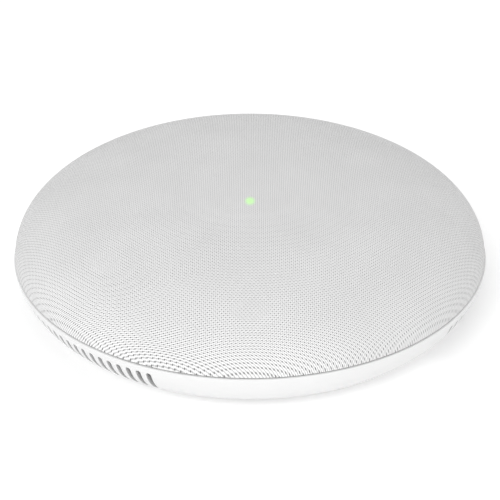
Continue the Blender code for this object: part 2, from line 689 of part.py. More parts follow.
def build_main_board():
    """A curved board in the base, with the parts that stand on it and its screws."""
    start, end = BOARD_AZIMUTHS
    inner, outer = BOARD_RADII
    edge = arc(outer, start, end, 24) + arc(inner, end, start, 20)
    holes = [circle(polar(BOARD_SCREW_RADIUS, azimuth), 1.5 * MM) for azimuth in BOARD_SCREW_AZIMUTHS]
    plate("main_board", [edge, *holes], BOARD_Z, LAMINATE)
    top, middle = BOARD_Z[1] + GAP, 66 * MM
    shield, pad = (20 * MM, 14 * MM, 2 * MM), (16 * MM, 11 * MM, 0.7 * MM)
    block("processor_shield", shield, middle, PROCESSOR_AZIMUTH, top, STEEL, 0.3 * MM)
    block("thermal_pad", pad, middle, PROCESSOR_AZIMUTH, top + shield[2] + GAP, PAD)
    block("radio_shield", (14 * MM, 12 * MM, 1.8 * MM), middle, 232, top, STEEL, 0.3 * MM)
    for number, azimuth in enumerate((119, 219), 1):
        can = disc_profile(2.6 * MM, (top, top + 5.4 * MM))
        turned(f"capacitor_{number}", can, ALUMINIUM, 16).location = polar(middle, azimuth)
    for number, azimuth in enumerate(BOARD_SCREW_AZIMUTHS, 1):
        place = polar(BOARD_SCREW_RADIUS, azimuth)
        head_z, shank_z = (10.3 * MM, 11.4 * MM), (4.9 * MM, 11 * MM)
        screw(f"board_screw_{number}", place, 2.0 * MM, head_z, 0.8 * MM, shank_z)


def build_heat_spreader():
    low, high = 13.6 * MM, 15.6 * MM
    start, end = PROCESSOR_AZIMUTH - 11, PROCESSOR_AZIMUTH + 11
    edge = arc(74 * MM, start, end, 8) + arc(58.5 * MM, end, start, 6)
    plate("heat_spreader", [edge], (low, high), ALUMINIUM)


def build_antennas():
    low = BRIM_Z[1] + GAP
    for name, start, end in (("antenna_left", 290, 320), ("antenna_right", 40, 70)):
        edge = arc(72 * MM, start, end, 10) + arc(64 * MM, end, start, 8)
        plate(name, [edge], (low, low + 0.8 * MM), LAMINATE)


def build_port():
    """The socket in the back wall: a recessed bezel, and behind it the socket and its tongue."""
    width, height = PORT_OUTER
    back, front = 75.0 * MM, 86.0 * MM
    middle = (back + front) / 2
    solid = bmesh.new()
    box(solid, (width, front - back, height), (0, -middle, PORT_Z), PORT_AZIMUTH)
    bezel = from_bmesh("port_bezel", solid, GREY, smooth=False)
    hollow = bmesh.new()
    opening = (width - 2 * PORT_WALL, front - back, height - 2 * PORT_WALL)
    box(hollow, opening, (0, -middle - PORT_WALL, PORT_Z), PORT_AZIMUTH)
    boolean(bezel, from_bmesh("port_opening", hollow, collection=CUTTERS), "DIFFERENCE")

    turn = turn_to(PORT_AZIMUTH)
    lie = Matrix.Rotation(math.pi / 2, 4, "Y")
    mouth = bmesh.new()
    behind = turn @ Matrix.Translation((0, -back, PORT_Z)) @ lie
    stadium(mouth, 3.9 * MM, 9.6 * MM, 4 * MM, behind, sides=12)
    boolean(bezel, from_bmesh("socket_mouth", mouth, collection=CUTTERS), "DIFFERENCE")
    outside = [(LIP_RADIUS + 8 * MM, 17.5 * MM), (LIP_RADIUS + 8 * MM, 6 * MM)]
    outside += bowl_curve(0.15 * MM, 17.5 * MM, 6 * MM, 8)[::-1]
    trim = turned("outside_of_bowl", outside, sides=FINE * 2, collection=CUTTERS)
    boolean(bezel, trim, "DIFFERENCE")

    shell_back, shell_front = 68.4 * MM, 75.8 * MM
    length = shell_front - shell_back
    place = turn @ Matrix.Translation((0, -(shell_back + shell_front) / 2, PORT_Z)) @ lie
    shell = bmesh.new()
    stadium(shell, 3.2 * MM, 8.9 * MM, length, place, sides=12)
    socket = from_bmesh("usb_socket", shell, STEEL)
    inside = bmesh.new()
    deeper = turn @ Matrix.Translation((0, -(shell_back + shell_front) / 2 - 1.0 * MM, PORT_Z)) @ lie
    stadium(inside, 2.5 * MM, 8.2 * MM, length, deeper, sides=12)
    boolean(socket, from_bmesh("usb_hollow", inside, collection=CUTTERS), "DIFFERENCE")
    tongue = bmesh.new()
    box(tongue, (6.4 * MM, 5.0 * MM, 0.7 * MM), (0, -72.3 * MM, PORT_Z), PORT_AZIMUTH)
    from_bmesh("usb_tongue", tongue, BLACK, smooth=False)


def build_mute_switch():
    """A slider that pokes through the wall, with a wide shutter behind it, and the switch that it works."""
    at = bpy.data.objects.new("mute_axis", None)
    at.location = polar(SHUTTER_RADIUS, MUTE_AZIMUTH, MUTE_Z)
    at.rotation_euler.z = math.radians(MUTE_AZIMUTH)
    PARTS.objects.link(at)
    reach = MUTE_TIP - SHUTTER_RADIUS
    knob = bmesh.new()
    box(knob, (MUTE_KNOB[0], reach, MUTE_KNOB[1]), (0, -reach / 2, 0))
    slider = from_bmesh("mute_slider", knob, WHITE)
    slider.parent = at
    for name, size, outwards in (("shutter", (13.6, 1.0, 5.0), 0), ("tab", (3.0, 2.4, 1.6), 1.4)):
        solid = bmesh.new()
        box(solid, Vector(size) * MM, (0, outwards * MM, 0))
        tool = from_bmesh("mute_" + name, solid, collection=CUTTERS)
        tool.parent = at
        boolean(slider, tool, "UNION")
    edge = slider.modifiers.new("edges", "BEVEL")
    edge.width = 0.25 * MM
    top = BOARD_Z[1] + GAP
    block("mute_switch", (9 * MM, 4.5 * MM, 3.6 * MM), 71.4 * MM, MUTE_AZIMUTH, top, BLACK, 0.2 * MM)


def build_reset():
    """A pin in the underside with a collar that keeps it in, and the switch above it."""
    tip, collar, head = 1.6 * MM, FLANGE_Z[1] + GAP, 6.7 * MM
    pin, wide = 1.5 * MM, 2.6 * MM
    profile = [(0, head), (wide, head), (wide, collar), (pin, collar), (pin, tip), (0, tip)]
    turned("reset_button", profile, GREY, 16).location = polar(RESET_RADIUS, 180)
    size = (4 * MM, 4 * MM, 1.1 * MM)
    block("reset_switch", size, RESET_RADIUS, 180, BOARD_Z[0] - GAP - size[2], BLACK)


def moved_left(route, distance):
    """A flat route moved to its left by a distance, with its corners kept sharp."""
    steps = [(b - a).normalized() for a, b in zip(route, route[1:])]
    lefts = [Vector((-step.y, step.x)) for step in steps]
    joins = [(a + b) / (1 + a.dot(b)) for a, b in zip(lefts, lefts[1:])]
    return [point + side * distance for point, side in zip(route, [lefts[0], *joins, lefts[-1]])]


def build_flex_cable():
    """A flat ribbon from the sensor board down through the brim to the main board."""
    thickness = 0.3
    corners = [(50.0, 37.5), (52.6, 37.5), (53.6, 36.5), (53.6, 11.8), (54.6, 10.5), (61.0, 10.5)]
    route = [Vector(corner) for corner in corners]
    outline = moved_left(route, thickness) + route[::-1]
    ribbon = bpy.data.curves.new("flex_cable", "CURVE")
    ribbon.dimensions = "2D"
    ribbon.fill_mode = "BOTH"
    ribbon.extrude = FLEX_WIDTH / 2
    spline = ribbon.splines.new("POLY")
    spline.points.add(len(outline) - 1)
    for corner, (radius, z) in zip(spline.points, outline):
        corner.co = (radius * MM, z * MM, 0, 1)
    spline.use_cyclic_u = True
    made = bpy.data.objects.new("flex_cable", ribbon)
    made.rotation_euler = (math.pi / 2, 0, math.radians(FLEX_AZIMUTH - 90))
    PARTS.objects.link(made)
    ribbon.materials.append(FLEX)


build_fabric_cover()
build_grille_dome()
build_rim_gasket()
build_base_shell()
build_vent_meshes()
build_bottom_cover()
build_foot_ring()
build_base_screws()
build_inner_frame()
build_speaker_tub()
build_wire_grommet()
build_speaker_wires()
build_damping_foam()
build_driver_frame()
build_driver_screws()
build_motor()
build_voice_coil()
build_spider()
build_cone()
build_dust_cap()
build_surround()
build_sensor_board()
build_light_pipe()
build_main_board()
build_heat_spreader()
build_antennas()
build_port()
build_mute_switch()
build_reset()
build_flex_cable()
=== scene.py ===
"""The looks of the smart speaker: fine meshes, materials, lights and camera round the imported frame.

Metres, +Z up. The origin is on the table under the centre of the speaker, and the front is -Y.
Azimuths are degrees seen from above, 0 at the front and positive towards +X.
"""

import math

import bmesh
import bpy
from mathutils import Matrix, Vector


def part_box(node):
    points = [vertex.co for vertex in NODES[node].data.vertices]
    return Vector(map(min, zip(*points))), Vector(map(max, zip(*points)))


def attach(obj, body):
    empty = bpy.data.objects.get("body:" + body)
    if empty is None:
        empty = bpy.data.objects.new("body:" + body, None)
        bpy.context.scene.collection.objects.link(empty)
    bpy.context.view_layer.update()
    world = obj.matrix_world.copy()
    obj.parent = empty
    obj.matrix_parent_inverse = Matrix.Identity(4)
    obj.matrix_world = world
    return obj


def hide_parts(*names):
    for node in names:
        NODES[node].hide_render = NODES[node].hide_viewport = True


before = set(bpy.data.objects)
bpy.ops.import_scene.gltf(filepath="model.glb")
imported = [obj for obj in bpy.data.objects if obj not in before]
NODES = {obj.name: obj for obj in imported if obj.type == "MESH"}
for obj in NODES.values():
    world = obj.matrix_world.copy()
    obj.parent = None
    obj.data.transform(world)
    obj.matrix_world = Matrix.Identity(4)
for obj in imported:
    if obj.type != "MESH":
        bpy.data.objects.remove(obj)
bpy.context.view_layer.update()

MM = 0.001


def heights(node):
    low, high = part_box(node)
    return low.z, high.z


# The dome and the bowl, as in the CAD
SEAM_RADIUS = 84.5 * MM
LIP_RADIUS = 85.0 * MM
SEAM_Z = 18.45 * MM
DOME_POWER = 2.28
DOME_ROUND = 2.24
BOWL_DEPTH = 21.1 * MM
BOWL_POWER = 1.56
BOWL_ROUND = 6.8
WALL = 2.2 * MM
FLANGE_Z = (3.9 * MM, 5.6 * MM)
COVER_RADIUS = 68.0 * MM

LIP_RISE = 0.15 * MM  # the bowl's rim stands this much closer to the cloth than in the CAD
SHELL_LOW = heights("base_shell")[0]
SHELL_TOP = heights("base_shell")[1] + LIP_RISE
FABRIC_LOW, FABRIC_TOP = heights("fabric_cover")
FABRIC_RISE = FABRIC_TOP - FABRIC_LOW
FABRIC_THICKNESS = 0.5 * MM
LIGHT_PLACE = (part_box("light_pipe")[0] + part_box("light_pipe")[1]) / 2

# Vents
VENT_PITCH = 2.58
VENTS_PER_SIDE = 41
VENT_FIRST = -22.94
VENT_WIDTH = 1.75 * MM
VENT_Z = (4.1 * MM, 15.9 * MM)
VENT_EDGE = 0.18 * MM  # fillet round a vent's outer edge
VENT_SILL = 2.0 * MM  # how much higher a vent's lower end is inside the wall
MESH_Z = (5.7 * MM, 16.1 * MM)  # height of the dust mesh behind them

# The wall is built in patches between these heights, outside and inside
BAND_OUTER = (3.2 * MM, 16.9 * MM)
BAND_INNER = (5.6 * MM, 16.4 * MM)
ACROSS, DOWN = 6, 8  # quads across and down one patch
PLAIN_PATCHES = 29  # patches without a vent between one run of vents and the next

# The power socket and the mute slider at the back: width, height and corner radius of their holes
BACK = 180
PORT_Z = 11.9 * MM
PORT_HOLE = (14.6 * MM, 8.2 * MM, 1.6 * MM)
PORT_SPAN = (173.5, 186.5)  # the plain patches between these azimuths become one patch
MUTE_AZIMUTH = 202
MUTE_Z = 12.2 * MM
MUTE_HOLE = (8.6 * MM, 3.6 * MM, 0.7 * MM)
MUTE_HOLE_AZIMUTH = MUTE_AZIMUTH + 1.02  # the knob starts nearer to one end of its slot
MUTE_SPAN = (199.5, 206.5)
BACK_EDGE = 0.2 * MM  # fillet round both holes
BACK_STEPS = 6  # rings of quads between a patch's border and its hole

# Fixings in the base
SCREW_RADIUS = 53.0 * MM
SCREW_AZIMUTHS = (45, 135, 225, 315)
SCREW_HOLE = 1.7 * MM
SCREW_HEAD_HOLE = 2.6 * MM
POST_RADIUS = 66.0 * MM
POST_AZIMUTHS = (112, 166, 248)
RESET_RADIUS = 62.5 * MM
RESET_HOLE = 1.9 * MM

# The weave's rhythms in the flat cloth, counted from the centre to the seam, and how far the cloth gives
# where the dome is steep
WEAVE_X = 65
WEAVE_Y = 64
GIVE = 2.5 * MM
GIVE_POWER = 2.5
RELIEF = 0.08 * MM  # depth of the dimples in the mesh
# How much each rhythm darkens the gaps between the threads with painted shade
TWIST, ROWS, COLUMNS, FALLING = 0.38, 0.23, 0.18, 0.13
THREAD_LIGHT = (0.905, 0.905, 0.905)
THREAD_DARK = (0.855, 0.855, 0.855)
# the gaps' colour is painted shade: the dark seen through the cloth between its threads
GAP_SHADE_COLOUR = (0.15, 0.15, 0.15)

# The status light's spot in the cloth: full inside the core, gone at the edge
SPOT_CORE, SPOT_EDGE = 0.4 * MM, 2.4 * MM
SPOT_STRETCH = 1.5
SPOT_STRENGTH = 0.34
SPOT_GLOW = (0.6, 1.0, 0.5)
SPOT_TINT = (0.44, 0.72, 0.33)

# Studio
SKY_FRONT, SKY_BACK = 0.93, 0.80  # strength of the sky at the front and the back horizon
KEY_POWER = 11.7
TABLE_GLOW = 0.22  # the table is a sheet of lit white acrylic
LENS = 117.3
CAMERA_DISTANCE = 7 * SEAM_RADIUS
CAMERA_ELEVATION = math.radians(30.53)
CAMERA_PITCH = math.radians(30.73)

CORNER_STEPS = 3  # faces round a filleted corner of a profile
DRIVER_SIDES = 160  # faces round the driver's parts
LOOP_STEPS = (4, 8, 4)  # faces round a corner, across and down a loop across the wall


# ---- shapes


def spaced(start, end, steps):
    return [start + (end - start) * i / steps for i in range(steps + 1)]


def evenly(count):
    return [360 * i / count for i in range(count)]


def blend(start, end, share):
    return tuple(a + (b - a) * share for a, b in zip(start, end))


def outward(azimuth):
    angle = math.radians(azimuth)
    return Vector((math.sin(angle), -math.cos(angle), 0))


def polar(radius, azimuth, z=0.0):
    return outward(azimuth) * radius + Vector((0, 0, z))


def dome_height(radius, inset=0.0):
    """Height of the dome at a distance from its axis."""
    share = min(radius / (SEAM_RADIUS - inset), 1)
    return FABRIC_LOW + (FABRIC_RISE - inset) * (1 - share**DOME_POWER) ** (1 / DOME_ROUND)


def dome_radius(z):
    share = min((z - FABRIC_LOW) / FABRIC_RISE, 1)
    return SEAM_RADIUS * (1 - share**DOME_ROUND) ** (1 / DOME_POWER)


def cloth_radius(radius):
    """How far from the middle of the flat cloth a thread lies, from its radius on the dome."""
    drop = 1 - (dome_height(radius) - FABRIC_LOW) / FABRIC_RISE
    return radius + GIVE * drop**GIVE_POWER


def radius_on_dome(cloth):
    """The way back, from the flat cloth to the dome."""
    low, high = 0.0, SEAM_RADIUS
    for _ in range(30):
        middle = (low + high) / 2
        if cloth_radius(middle) < cloth:
            low = middle
        else:
            high = middle
    return low


def bowl_radius(z, inset=0.0):
    depth = (SEAM_Z - z) / (BOWL_DEPTH - inset)
    return (LIP_RADIUS - inset) * (1 - max(depth, 0) ** BOWL_POWER) ** (1 / BOWL_ROUND)


def bowl_curve(inset, top, bottom, steps):
    return [(bowl_radius(z, inset), z) for z in spaced(top, bottom, steps)]


def rounded(points, closed=True):
    """A profile of (radius, z, fillet) points with each corner turned into an arc of that fillet."""
    out = []
    count = len(points)
    for i, (r, z, fillet) in enumerate(points):
        here = Vector((r, z))
        if not fillet or (not closed and i in (0, count - 1)):
            out.append((r, z))
            continue
        before = (Vector(points[i - 1][:2]) - here).normalized()
        after = (Vector(points[(i + 1) % count][:2]) - here).normalized()
        half = before.angle(after) / 2
        reach = fillet / math.tan(half)
        centre = here + (before + after).normalized() * fillet / math.sin(half)
        first, last = here + before * reach - centre, here + after * reach - centre
        turn = first.angle_signed(last)
        for share in spaced(0, 1, CORNER_STEPS):
            spoke = first.copy()
            spoke.rotate(Matrix.Rotation(-turn * share, 2))
            out.append(tuple(centre + spoke))
    return out


def outline(size, steps, grow=0.0):
    """A rectangle with round corners, as (across, up) points clockwise from the start of its top left corner.

    The size is (width, height, corner radius), and the steps are those of an arc, across and down.
    """
    half_width, half_height, corner = size[0] / 2 + grow, size[1] / 2 + grow, size[2] + grow
    arc_steps, across_steps, down_steps = steps
    arcs = []
    for side, up, start in ((-1, 1, 180), (1, 1, 90), (1, -1, 0), (-1, -1, -90)):
        middle = (side * (half_width - corner), up * (half_height - corner))
        turns = [math.radians(degrees) for degrees in spaced(start, start - 90, arc_steps)]
        arcs.append([(middle[0] + corner * math.cos(t), middle[1] + corner * math.sin(t)) for t in turns])
    points = []
    for number, arc in enumerate(arcs):
        following = arcs[(number + 1) % 4]
        straight = down_steps if number % 2 else across_steps
        points += arc if straight else arc[:-1]
        points += [blend(arc[-1], following[0], k / straight) for k in range(1, straight)]
    return points


def skin(solid, rings, wrap=True, caps=False, material=0):
    """Quads between rings that all have the same count of corners, which may be in the solid already."""
    made = []
    for ring in rings:
        made.append([p if isinstance(p, bmesh.types.BMVert) else solid.verts.new(p) for p in ring])
    count = len(made[0])
    for low, high in zip(made, made[1:]):
        for i in range(count if wrap else count - 1):
            j = (i + 1) % count
            solid.faces.new((low[i], low[j], high[j], high[i])).material_index = material
    if caps:
        solid.faces.new(made[0][::-1])
        solid.faces.new(made[-1])
    return made


def lathe(solid, profile, azimuths, closed=True, centre=(0, 0)):
    """Turns a profile of (radius, z) points, given anticlockwise in (radius, z), about an upright axis."""
    shift = Vector((centre[0], centre[1], 0))
    rings = []
    for radius, z in profile + profile[:1] if closed else profile:
        around = azimuths if radius > 1e-7 else azimuths[:1]
        rings.append([solid.verts.new(shift + polar(radius, a, z)) for a in around])
    count = len(azimuths)
    for low, high in zip(rings, rings[1:]):
        for i in range(count):
            j = (i + 1) % count
            corners = (low[i % len(low)], low[j % len(low)], high[j % len(high)], high[i % len(high)])
            corners = tuple(dict.fromkeys(corners))  # a ring on the axis is a single corner
            if len(corners) > 2:
                solid.faces.new(corners)


def add_rod(solid, radius, low, high, place, sides=32):
    lathe(solid, [(0, low), (radius, low), (radius, high), (0, high)], evenly(sides), False, place)


def tidy(solid, distance=1e-6):
    bmesh.ops.remove_doubles(solid, verts=solid.verts, dist=distance)
    bmesh.ops.recalc_face_normals(solid, faces=solid.faces)
    return solid


def add_object(name, solid, materials=()):
    mesh = bpy.data.meshes.new(name)
    solid.to_mesh(mesh)
    solid.free()
    for material in materials:
        mesh.materials.append(material)
    made = bpy.data.objects.new(name, mesh)
    bpy.context.scene.collection.objects.link(made)
    return made


def smooth(mesh, sharp):
    """Shades a mesh smooth, with a crease at each edge above the sharp angle, or with no crease for 0."""
    mesh.shade_smooth()
    if sharp:
        mesh.set_sharp_from_angle(angle=math.radians(sharp))


def new_piece(name, solid, materials, node, slot, body="housing", sharp=40):
    """A visible piece that rides on a body and stands for a CAD node."""
    made = add_object(name, solid, materials)
    smooth(made.data, sharp)
    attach(made, body)
    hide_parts(node)
    return made


def turned_piece(name, profile, material, node, slot, sides=256, closed=True, centre=(0, 0), **more):
    solid = bmesh.new()
    lathe(solid, profile, evenly(sides), closed, centre)
    return new_piece(name, tidy(solid), [material], node, slot, **more)


def combine(target, solid, operation, sharp=40):
    """Cuts a solid out of a piece, or joins it on, and shades the result again."""
    tool = add_object("tool", solid)
    change = target.modifiers.new("combine", "BOOLEAN")
    change.operation = operation
    change.object = tool
    graph = bpy.context.evaluated_depsgraph_get()
    made = bpy.data.meshes.new_from_object(target.evaluated_get(graph))
    target.modifiers.clear()
    old = target.data
    target.data = made
    bpy.data.meshes.remove(old)
    bpy.data.objects.remove(tool, do_unlink=True)
    clean = bmesh.new()
    clean.from_mesh(made)
    bmesh.ops.dissolve_degenerate(clean, dist=1e-6, edges=clean.edges)
    clean.to_mesh(made)
    clean.free()
    smooth(made, sharp)


# ---- the bowl's wall


def wall_ring(points, inset):
    """Places on the bowl from (azimuth, z) points."""
    return [polar(bowl_radius(z, inset), azimuth, z) for azimuth, z in points]


def pierced_patch(solid, azimuths, hole, hole_z, middle, arc_steps, fillet, sill=0.0, steps=1):
    """One patch of the bowl's wall, outer face and inner face, with a hole through it.

    The hole is (width, height, corner radius). Its sides stand square to the wall at its middle azimuth, its
    outer edge is rounded over by the fillet, and its lower end rises by the sill on the way in. Each face is
    drawn in that many steps from the patch's border to the hole.
    """
    outline_steps = (arc_steps, len(azimuths) - 1 - 2 * arc_steps, DOWN)

    def border(band):
        bottom, top = band
        rows = spaced(bottom, top, DOWN)
        points = [(a, top) for a in azimuths[:-1]] + [(azimuths[-1], z) for z in rows[:0:-1]]
        return points + [(a, bottom) for a in azimuths[:0:-1]] + [(azimuths[0], z) for z in rows[:-1]]

    def rim(inset, grow):
        points = []
        depth = min(inset / WALL, 1)
        for side, up in outline(hole, outline_steps, grow):
            z = hole_z + up + sill * depth * (0.5 - up / hole[1])
            points.append((middle + math.degrees(math.asin(side / bowl_radius(z, inset))), z))
        return points

    def face(start, end, inset):
        shares = spaced(0, 1, steps)
        return [wall_ring([blend(a, b, share) for a, b in zip(start, end)], inset) for share in shares]

    outside = face(border(BAND_OUTER), rim(0, fillet * 2.2), 0) + [wall_ring(rim(0, fillet), 0)]
    edge = []
    for degrees in (30, 60, 90):
        turn = math.radians(degrees)
        inset, grow = fillet * (1 - math.cos(turn)), fillet * (1 - math.sin(turn))
        edge.append(wall_ring(rim(inset, grow), inset))
    inside = [wall_ring(rim(WALL - fillet, 0), WALL - fillet)]
    inside += face(rim(WALL, fillet * 0.6), border(BAND_INNER), WALL)
    skin(solid, outside + edge[:2])
    # the hole's inner wall past the rounded edge takes the second material, grey painted shade
    skin(solid, [edge[1], edge[2], inside[0]], material=1)
    skin(solid, inside)


def plain_patch(solid, azimuths):
    for inset, band in ((0, BAND_OUTER), (WALL, BAND_INNER)):
        rows = [[(azimuth, z) for azimuth in azimuths] for z in spaced(*band, DOWN)]
        skin(solid, [wall_ring(row, inset) for row in rows], wrap=False)


def vent_runs():
    """The azimuths of the vents in each of the two runs."""
    run = [VENT_FIRST - VENT_PITCH * i for i in range(VENTS_PER_SIDE)]
    return run, [azimuth + 180 for azimuth in run]


def patch_plan():
    """The patches round the bowl, anticlockwise from above.

    Each is (azimuths of its columns, azimuth of its vent or None).
    """
    half = VENT_PITCH / 2
    patches = []
    for run in vent_runs():
        patches += [(middle - half, middle + half, middle) for middle in run[::-1]]
        joints = spaced(run[0] + half, run[-1] - half + 180, PLAIN_PATCHES)
        patches += [(start, end, None) for start, end in zip(joints, joints[1:])]
    return [(spaced(start, end, ACROSS), vent) for start, end, vent in patches]


def merge_patches(patches, span):
    """The plain patches whose middles lie in a span of azimuths, and all their columns in one run."""
    chosen = [p for p in patches if p[1] is None and span[0] < (p[0][0] + p[0][-1]) / 2 < span[1]]
    columns = [chosen[0][0][0]]
    for azimuths, _ in chosen:
        columns += azimuths[1:]
    return chosen, columns


# ---- materials


class Shader:
    """A material, with short calls that add nodes. A constant colour is given as three numbers."""

    def __init__(self, name):
        self.material = bpy.data.materials.new(name)
        self.material.use_nodes = True
        self.tree = self.material.node_tree
        self.surface = self.tree.nodes["Principled BSDF"]
        self.place = self.add("TexCoord").outputs["Object"]

    def add(self, kind, **inputs):
        made = self.tree.nodes.new("ShaderNode" + kind)
        for name, value in inputs.items():
            self.set(made.inputs[name.replace("_", " ")], value)
        return made

    def set(self, socket, value):
        if isinstance(value, bpy.types.NodeSocket):
            self.tree.links.new(value, socket)
        elif socket.type == "RGBA":
            socket.default_value = (*value, 1)
        else:
            socket.default_value = value

    def axes(self):
        """X, Y and Z of the place on the piece."""
        return tuple(self.add("SeparateXYZ", Vector=self.place).outputs)

    def math(self, operation, first, second=0.0, clamp=False):
        made = self.add("Math")
        made.operation = operation
        made.use_clamp = clamp
        for socket, value in zip(made.inputs, (first, second)):
            self.set(socket, value)
        return made.outputs[0]

    def times(self, first, second):
        return self.math("MULTIPLY", first, second)

    def minus(self, first, second):
        return self.math("SUBTRACT", first, second)

    def plus(self, *values):
        out = values[0]
        for value in values[1:]:
            out = self.math("ADD", out, value)
        return out

    def wave(self, weight, *phases):
        """A cosine of that weight over the sum of the phases, which are in whole turns."""
        return self.times(self.math("COSINE", self.times(self.plus(*phases), math.tau)), weight)

    def noise(self, scale, detail=3.0, roughness=0.5, vector=None):
        vector = vector or self.place
        made = self.add("TexNoise", Scale=scale, Detail=detail, Roughness=roughness, Vector=vector)
        return made.outputs["Fac"]

    def ramp(self, factor, *stops):
        made = self.add("ValToRGB", Fac=factor)
        while len(made.color_ramp.elements) < len(stops):
            made.color_ramp.elements.new(0.5)
        for element, (place, colour) in zip(made.color_ramp.elements, stops):
            element.position = place
            element.color = (*colour, 1)
        return made.outputs["Color"]

    def spread(self, factor, low, high):
        """Maps 0..1 to low..high."""
        return self.add("MapRange", Value=factor, To_Min=low, To_Max=high).outputs["Result"]

    def step(self, factor, low, high):
        """A smooth step from 0 at low to 1 at high."""
        made = self.add("MapRange", Value=factor, From_Min=low, From_Max=high)
        made.interpolation_type = "SMOOTHSTEP"
        return made.outputs["Result"]

    def mix(self, factor, first, second):
        made = self.add("Mix")
        made.data_type = "RGBA"
        self.set(made.inputs["Factor"], factor)
        self.set(made.inputs[6], first)
        self.set(made.inputs[7], second)
        return made.outputs[2]

    def bump(self, height, distance):
        return self.add("Bump", Height=height, Distance=distance).outputs["Normal"]

    def finish(self, **inputs):
        for name, value in inputs.items():
            self.set(self.surface.inputs[name.replace("_", " ")], value)
        return self.material


def shade(colour, share):
    return tuple(min(c * share, 1) for c in colour)


def moulded(name, colour, roughness, grain=0.35, depth=0.006, variation=0.04, **more):
    """Moulded plastic or rubber: a fine spark-eroded grain, faint colour drift and uneven gloss."""
    made = Shader(name)
    fine = made.noise(1000 / grain, 4, 0.6)
    broad = made.noise(35, 2)
    tone = made.ramp(broad, (0.3, shade(colour, 1 - variation)), (0.7, shade(colour, 1 + variation * 0.5)))
    speck = made.ramp(fine, (0.35, shade(colour, 1 - variation * 1.5)), (0.6, colour))
    base = made.mix(0.5, tone, speck)
    rough = made.spread(fine, max(roughness - 0.06, 0), min(roughness + 0.08, 1))
    return made.finish(Base_Color=base, Roughness=rough, Normal=made.bump(fine, depth * MM), **more)


def metal(name, colour, roughness, stretch=(1, 1, 1)):
    """Bare metal with a fine grain, drawn out along one axis where it is brushed."""
    made = Shader(name)
    scaled = made.add("VectorMath")
    scaled.operation = "MULTIPLY"
    made.set(scaled.inputs[0], made.place)
    scaled.inputs[1].default_value = stretch
    fine = made.noise(5000, 5, 0.65, scaled.outputs[0])
    base = made.ramp(made.noise(60, 2), (0.3, shade(colour, 0.86)), (0.7, shade(colour, 1.04)))
    rough = made.spread(fine, max(roughness - 0.1, 0.05), roughness + 0.12)
    return made.finish(Base_Color=base, Roughness=rough, Normal=made.bump(fine, 0.002 * MM), Metallic=1.0)


def foam(name, colour):
    made = Shader(name)
    distance = made.add("TexVoronoi", Scale=1600.0, Vector=made.place).outputs["Distance"]
    base = made.ramp(distance, (0.1, shade(colour, 0.4)), (0.6, shade(colour, 1.3)))
    return made.finish(Base_Color=base, Roughness=1.0, Normal=made.bump(distance, 0.15 * MM))


def threads(made, across, along):
    """Plain weave on two thread coordinates, counted in threads: (height, openness)."""
    first, second = (made.math("SINE", made.times(count, math.pi)) for count in (across, along))
    lift = made.times(made.times(first, second), 0.35)
    one = made.plus(made.math("POWER", made.math("ABSOLUTE", first), 0.6), lift)
    two = made.minus(made.math("POWER", made.math("ABSOLUTE", second), 0.6), lift)
    cosines = [made.math("COSINE", made.times(count, math.tau)) for count in (across, along)]
    return made.math("MAXIMUM", one, two), made.times(made.plus(*cosines), 0.5)


def weave_gaps(made, right, back, up):
    """How deep the gap between threads is at a place, from rhythms that run in the flat cloth."""
    flat = made.add("CombineXYZ", X=right, Y=back)
    length = made.add("VectorMath")
    length.operation = "LENGTH"
    made.set(length.inputs[0], flat.outputs[0])
    distance = made.math("MAXIMUM", length.outputs["Value"], MM)
    height = made.math("DIVIDE", up, FABRIC_RISE)
    fallen = made.math("SUBTRACT", FABRIC_TOP / FABRIC_RISE, height, clamp=True)
    give = made.times(made.math("POWER", fallen, GIVE_POWER), GIVE)
    widen = made.plus(1.0, made.math("DIVIDE", give, distance))
    x = made.times(made.times(right, widen), WEAVE_X / SEAM_RADIUS)
    y = made.times(made.times(back, widen), WEAVE_Y / SEAM_RADIUS)
    return made.plus(
        made.wave(TWIST, x, made.times(y, 3.0)),
        made.wave(ROWS, made.times(y, 2.0)),
        made.wave(COLUMNS, made.times(x, 2.0)),
        made.wave(FALLING, y, made.times(x, -1.0)),
    )


def fabric_material():
    """Light grey speaker cloth: threads, darker gaps between them painted as the shade seen through the
    weave, and the status light glowing through.
    """
    made = Shader("speaker_fabric")
    right, back, up = made.axes()
    gap = weave_gaps(made, right, back, up)
    hole = made.step(gap, -0.35, 0.85)
    slub = made.noise(900, 2, 0.6)
    thread = made.ramp(made.noise(45, 3, 0.55), (0.3, THREAD_DARK), (0.7, THREAD_LIGHT))
    fibre = made.mix(made.spread(slub, 0.0, 0.25), thread, shade(THREAD_DARK, 0.86))
    # the gaps are painted dark as shade
    base = made.mix(hole, fibre, GAP_SHADE_COLOUR)
    normal = made.bump(made.minus(made.times(slub, 0.25), gap), 0.06 * MM)

    # the light spot, by distance from the light pipe, a little longer towards the front
    aside = made.minus(right, LIGHT_PLACE.x)
    ahead = made.math("DIVIDE", made.minus(back, LIGHT_PLACE.y), SPOT_STRETCH)
    squares = made.plus(made.times(aside, aside), made.times(ahead, ahead))
    spot = made.minus(1.0, made.step(made.math("SQRT", squares), SPOT_CORE, SPOT_EDGE))
    through = made.spread(hole, 0.8, 1.25)
    return made.finish(
        Base_Color=made.mix(spot, base, SPOT_TINT),
        Roughness=0.92,
        Normal=normal,
        Specular_IOR_Level=0.05,
        Emission_Color=SPOT_GLOW,
        Emission_Strength=made.times(made.times(spot, through), SPOT_STRENGTH),
    )


def mesh_material():
    """The woven dust mesh behind the vents."""
    made = Shader("vent_mesh")
    right, back, up = made.axes()
    around = made.times(made.math("ARCTAN2", right, back), 170.0)
    height, opening = threads(made, around, made.times(up, 2100.0))
    base = made.mix(made.step(opening, 0.1, 0.7), (0.42, 0.42, 0.43), (0.16, 0.16, 0.165))
    return made.finish(Base_Color=base, Roughness=0.8, Normal=made.bump(height, 0.06 * MM))


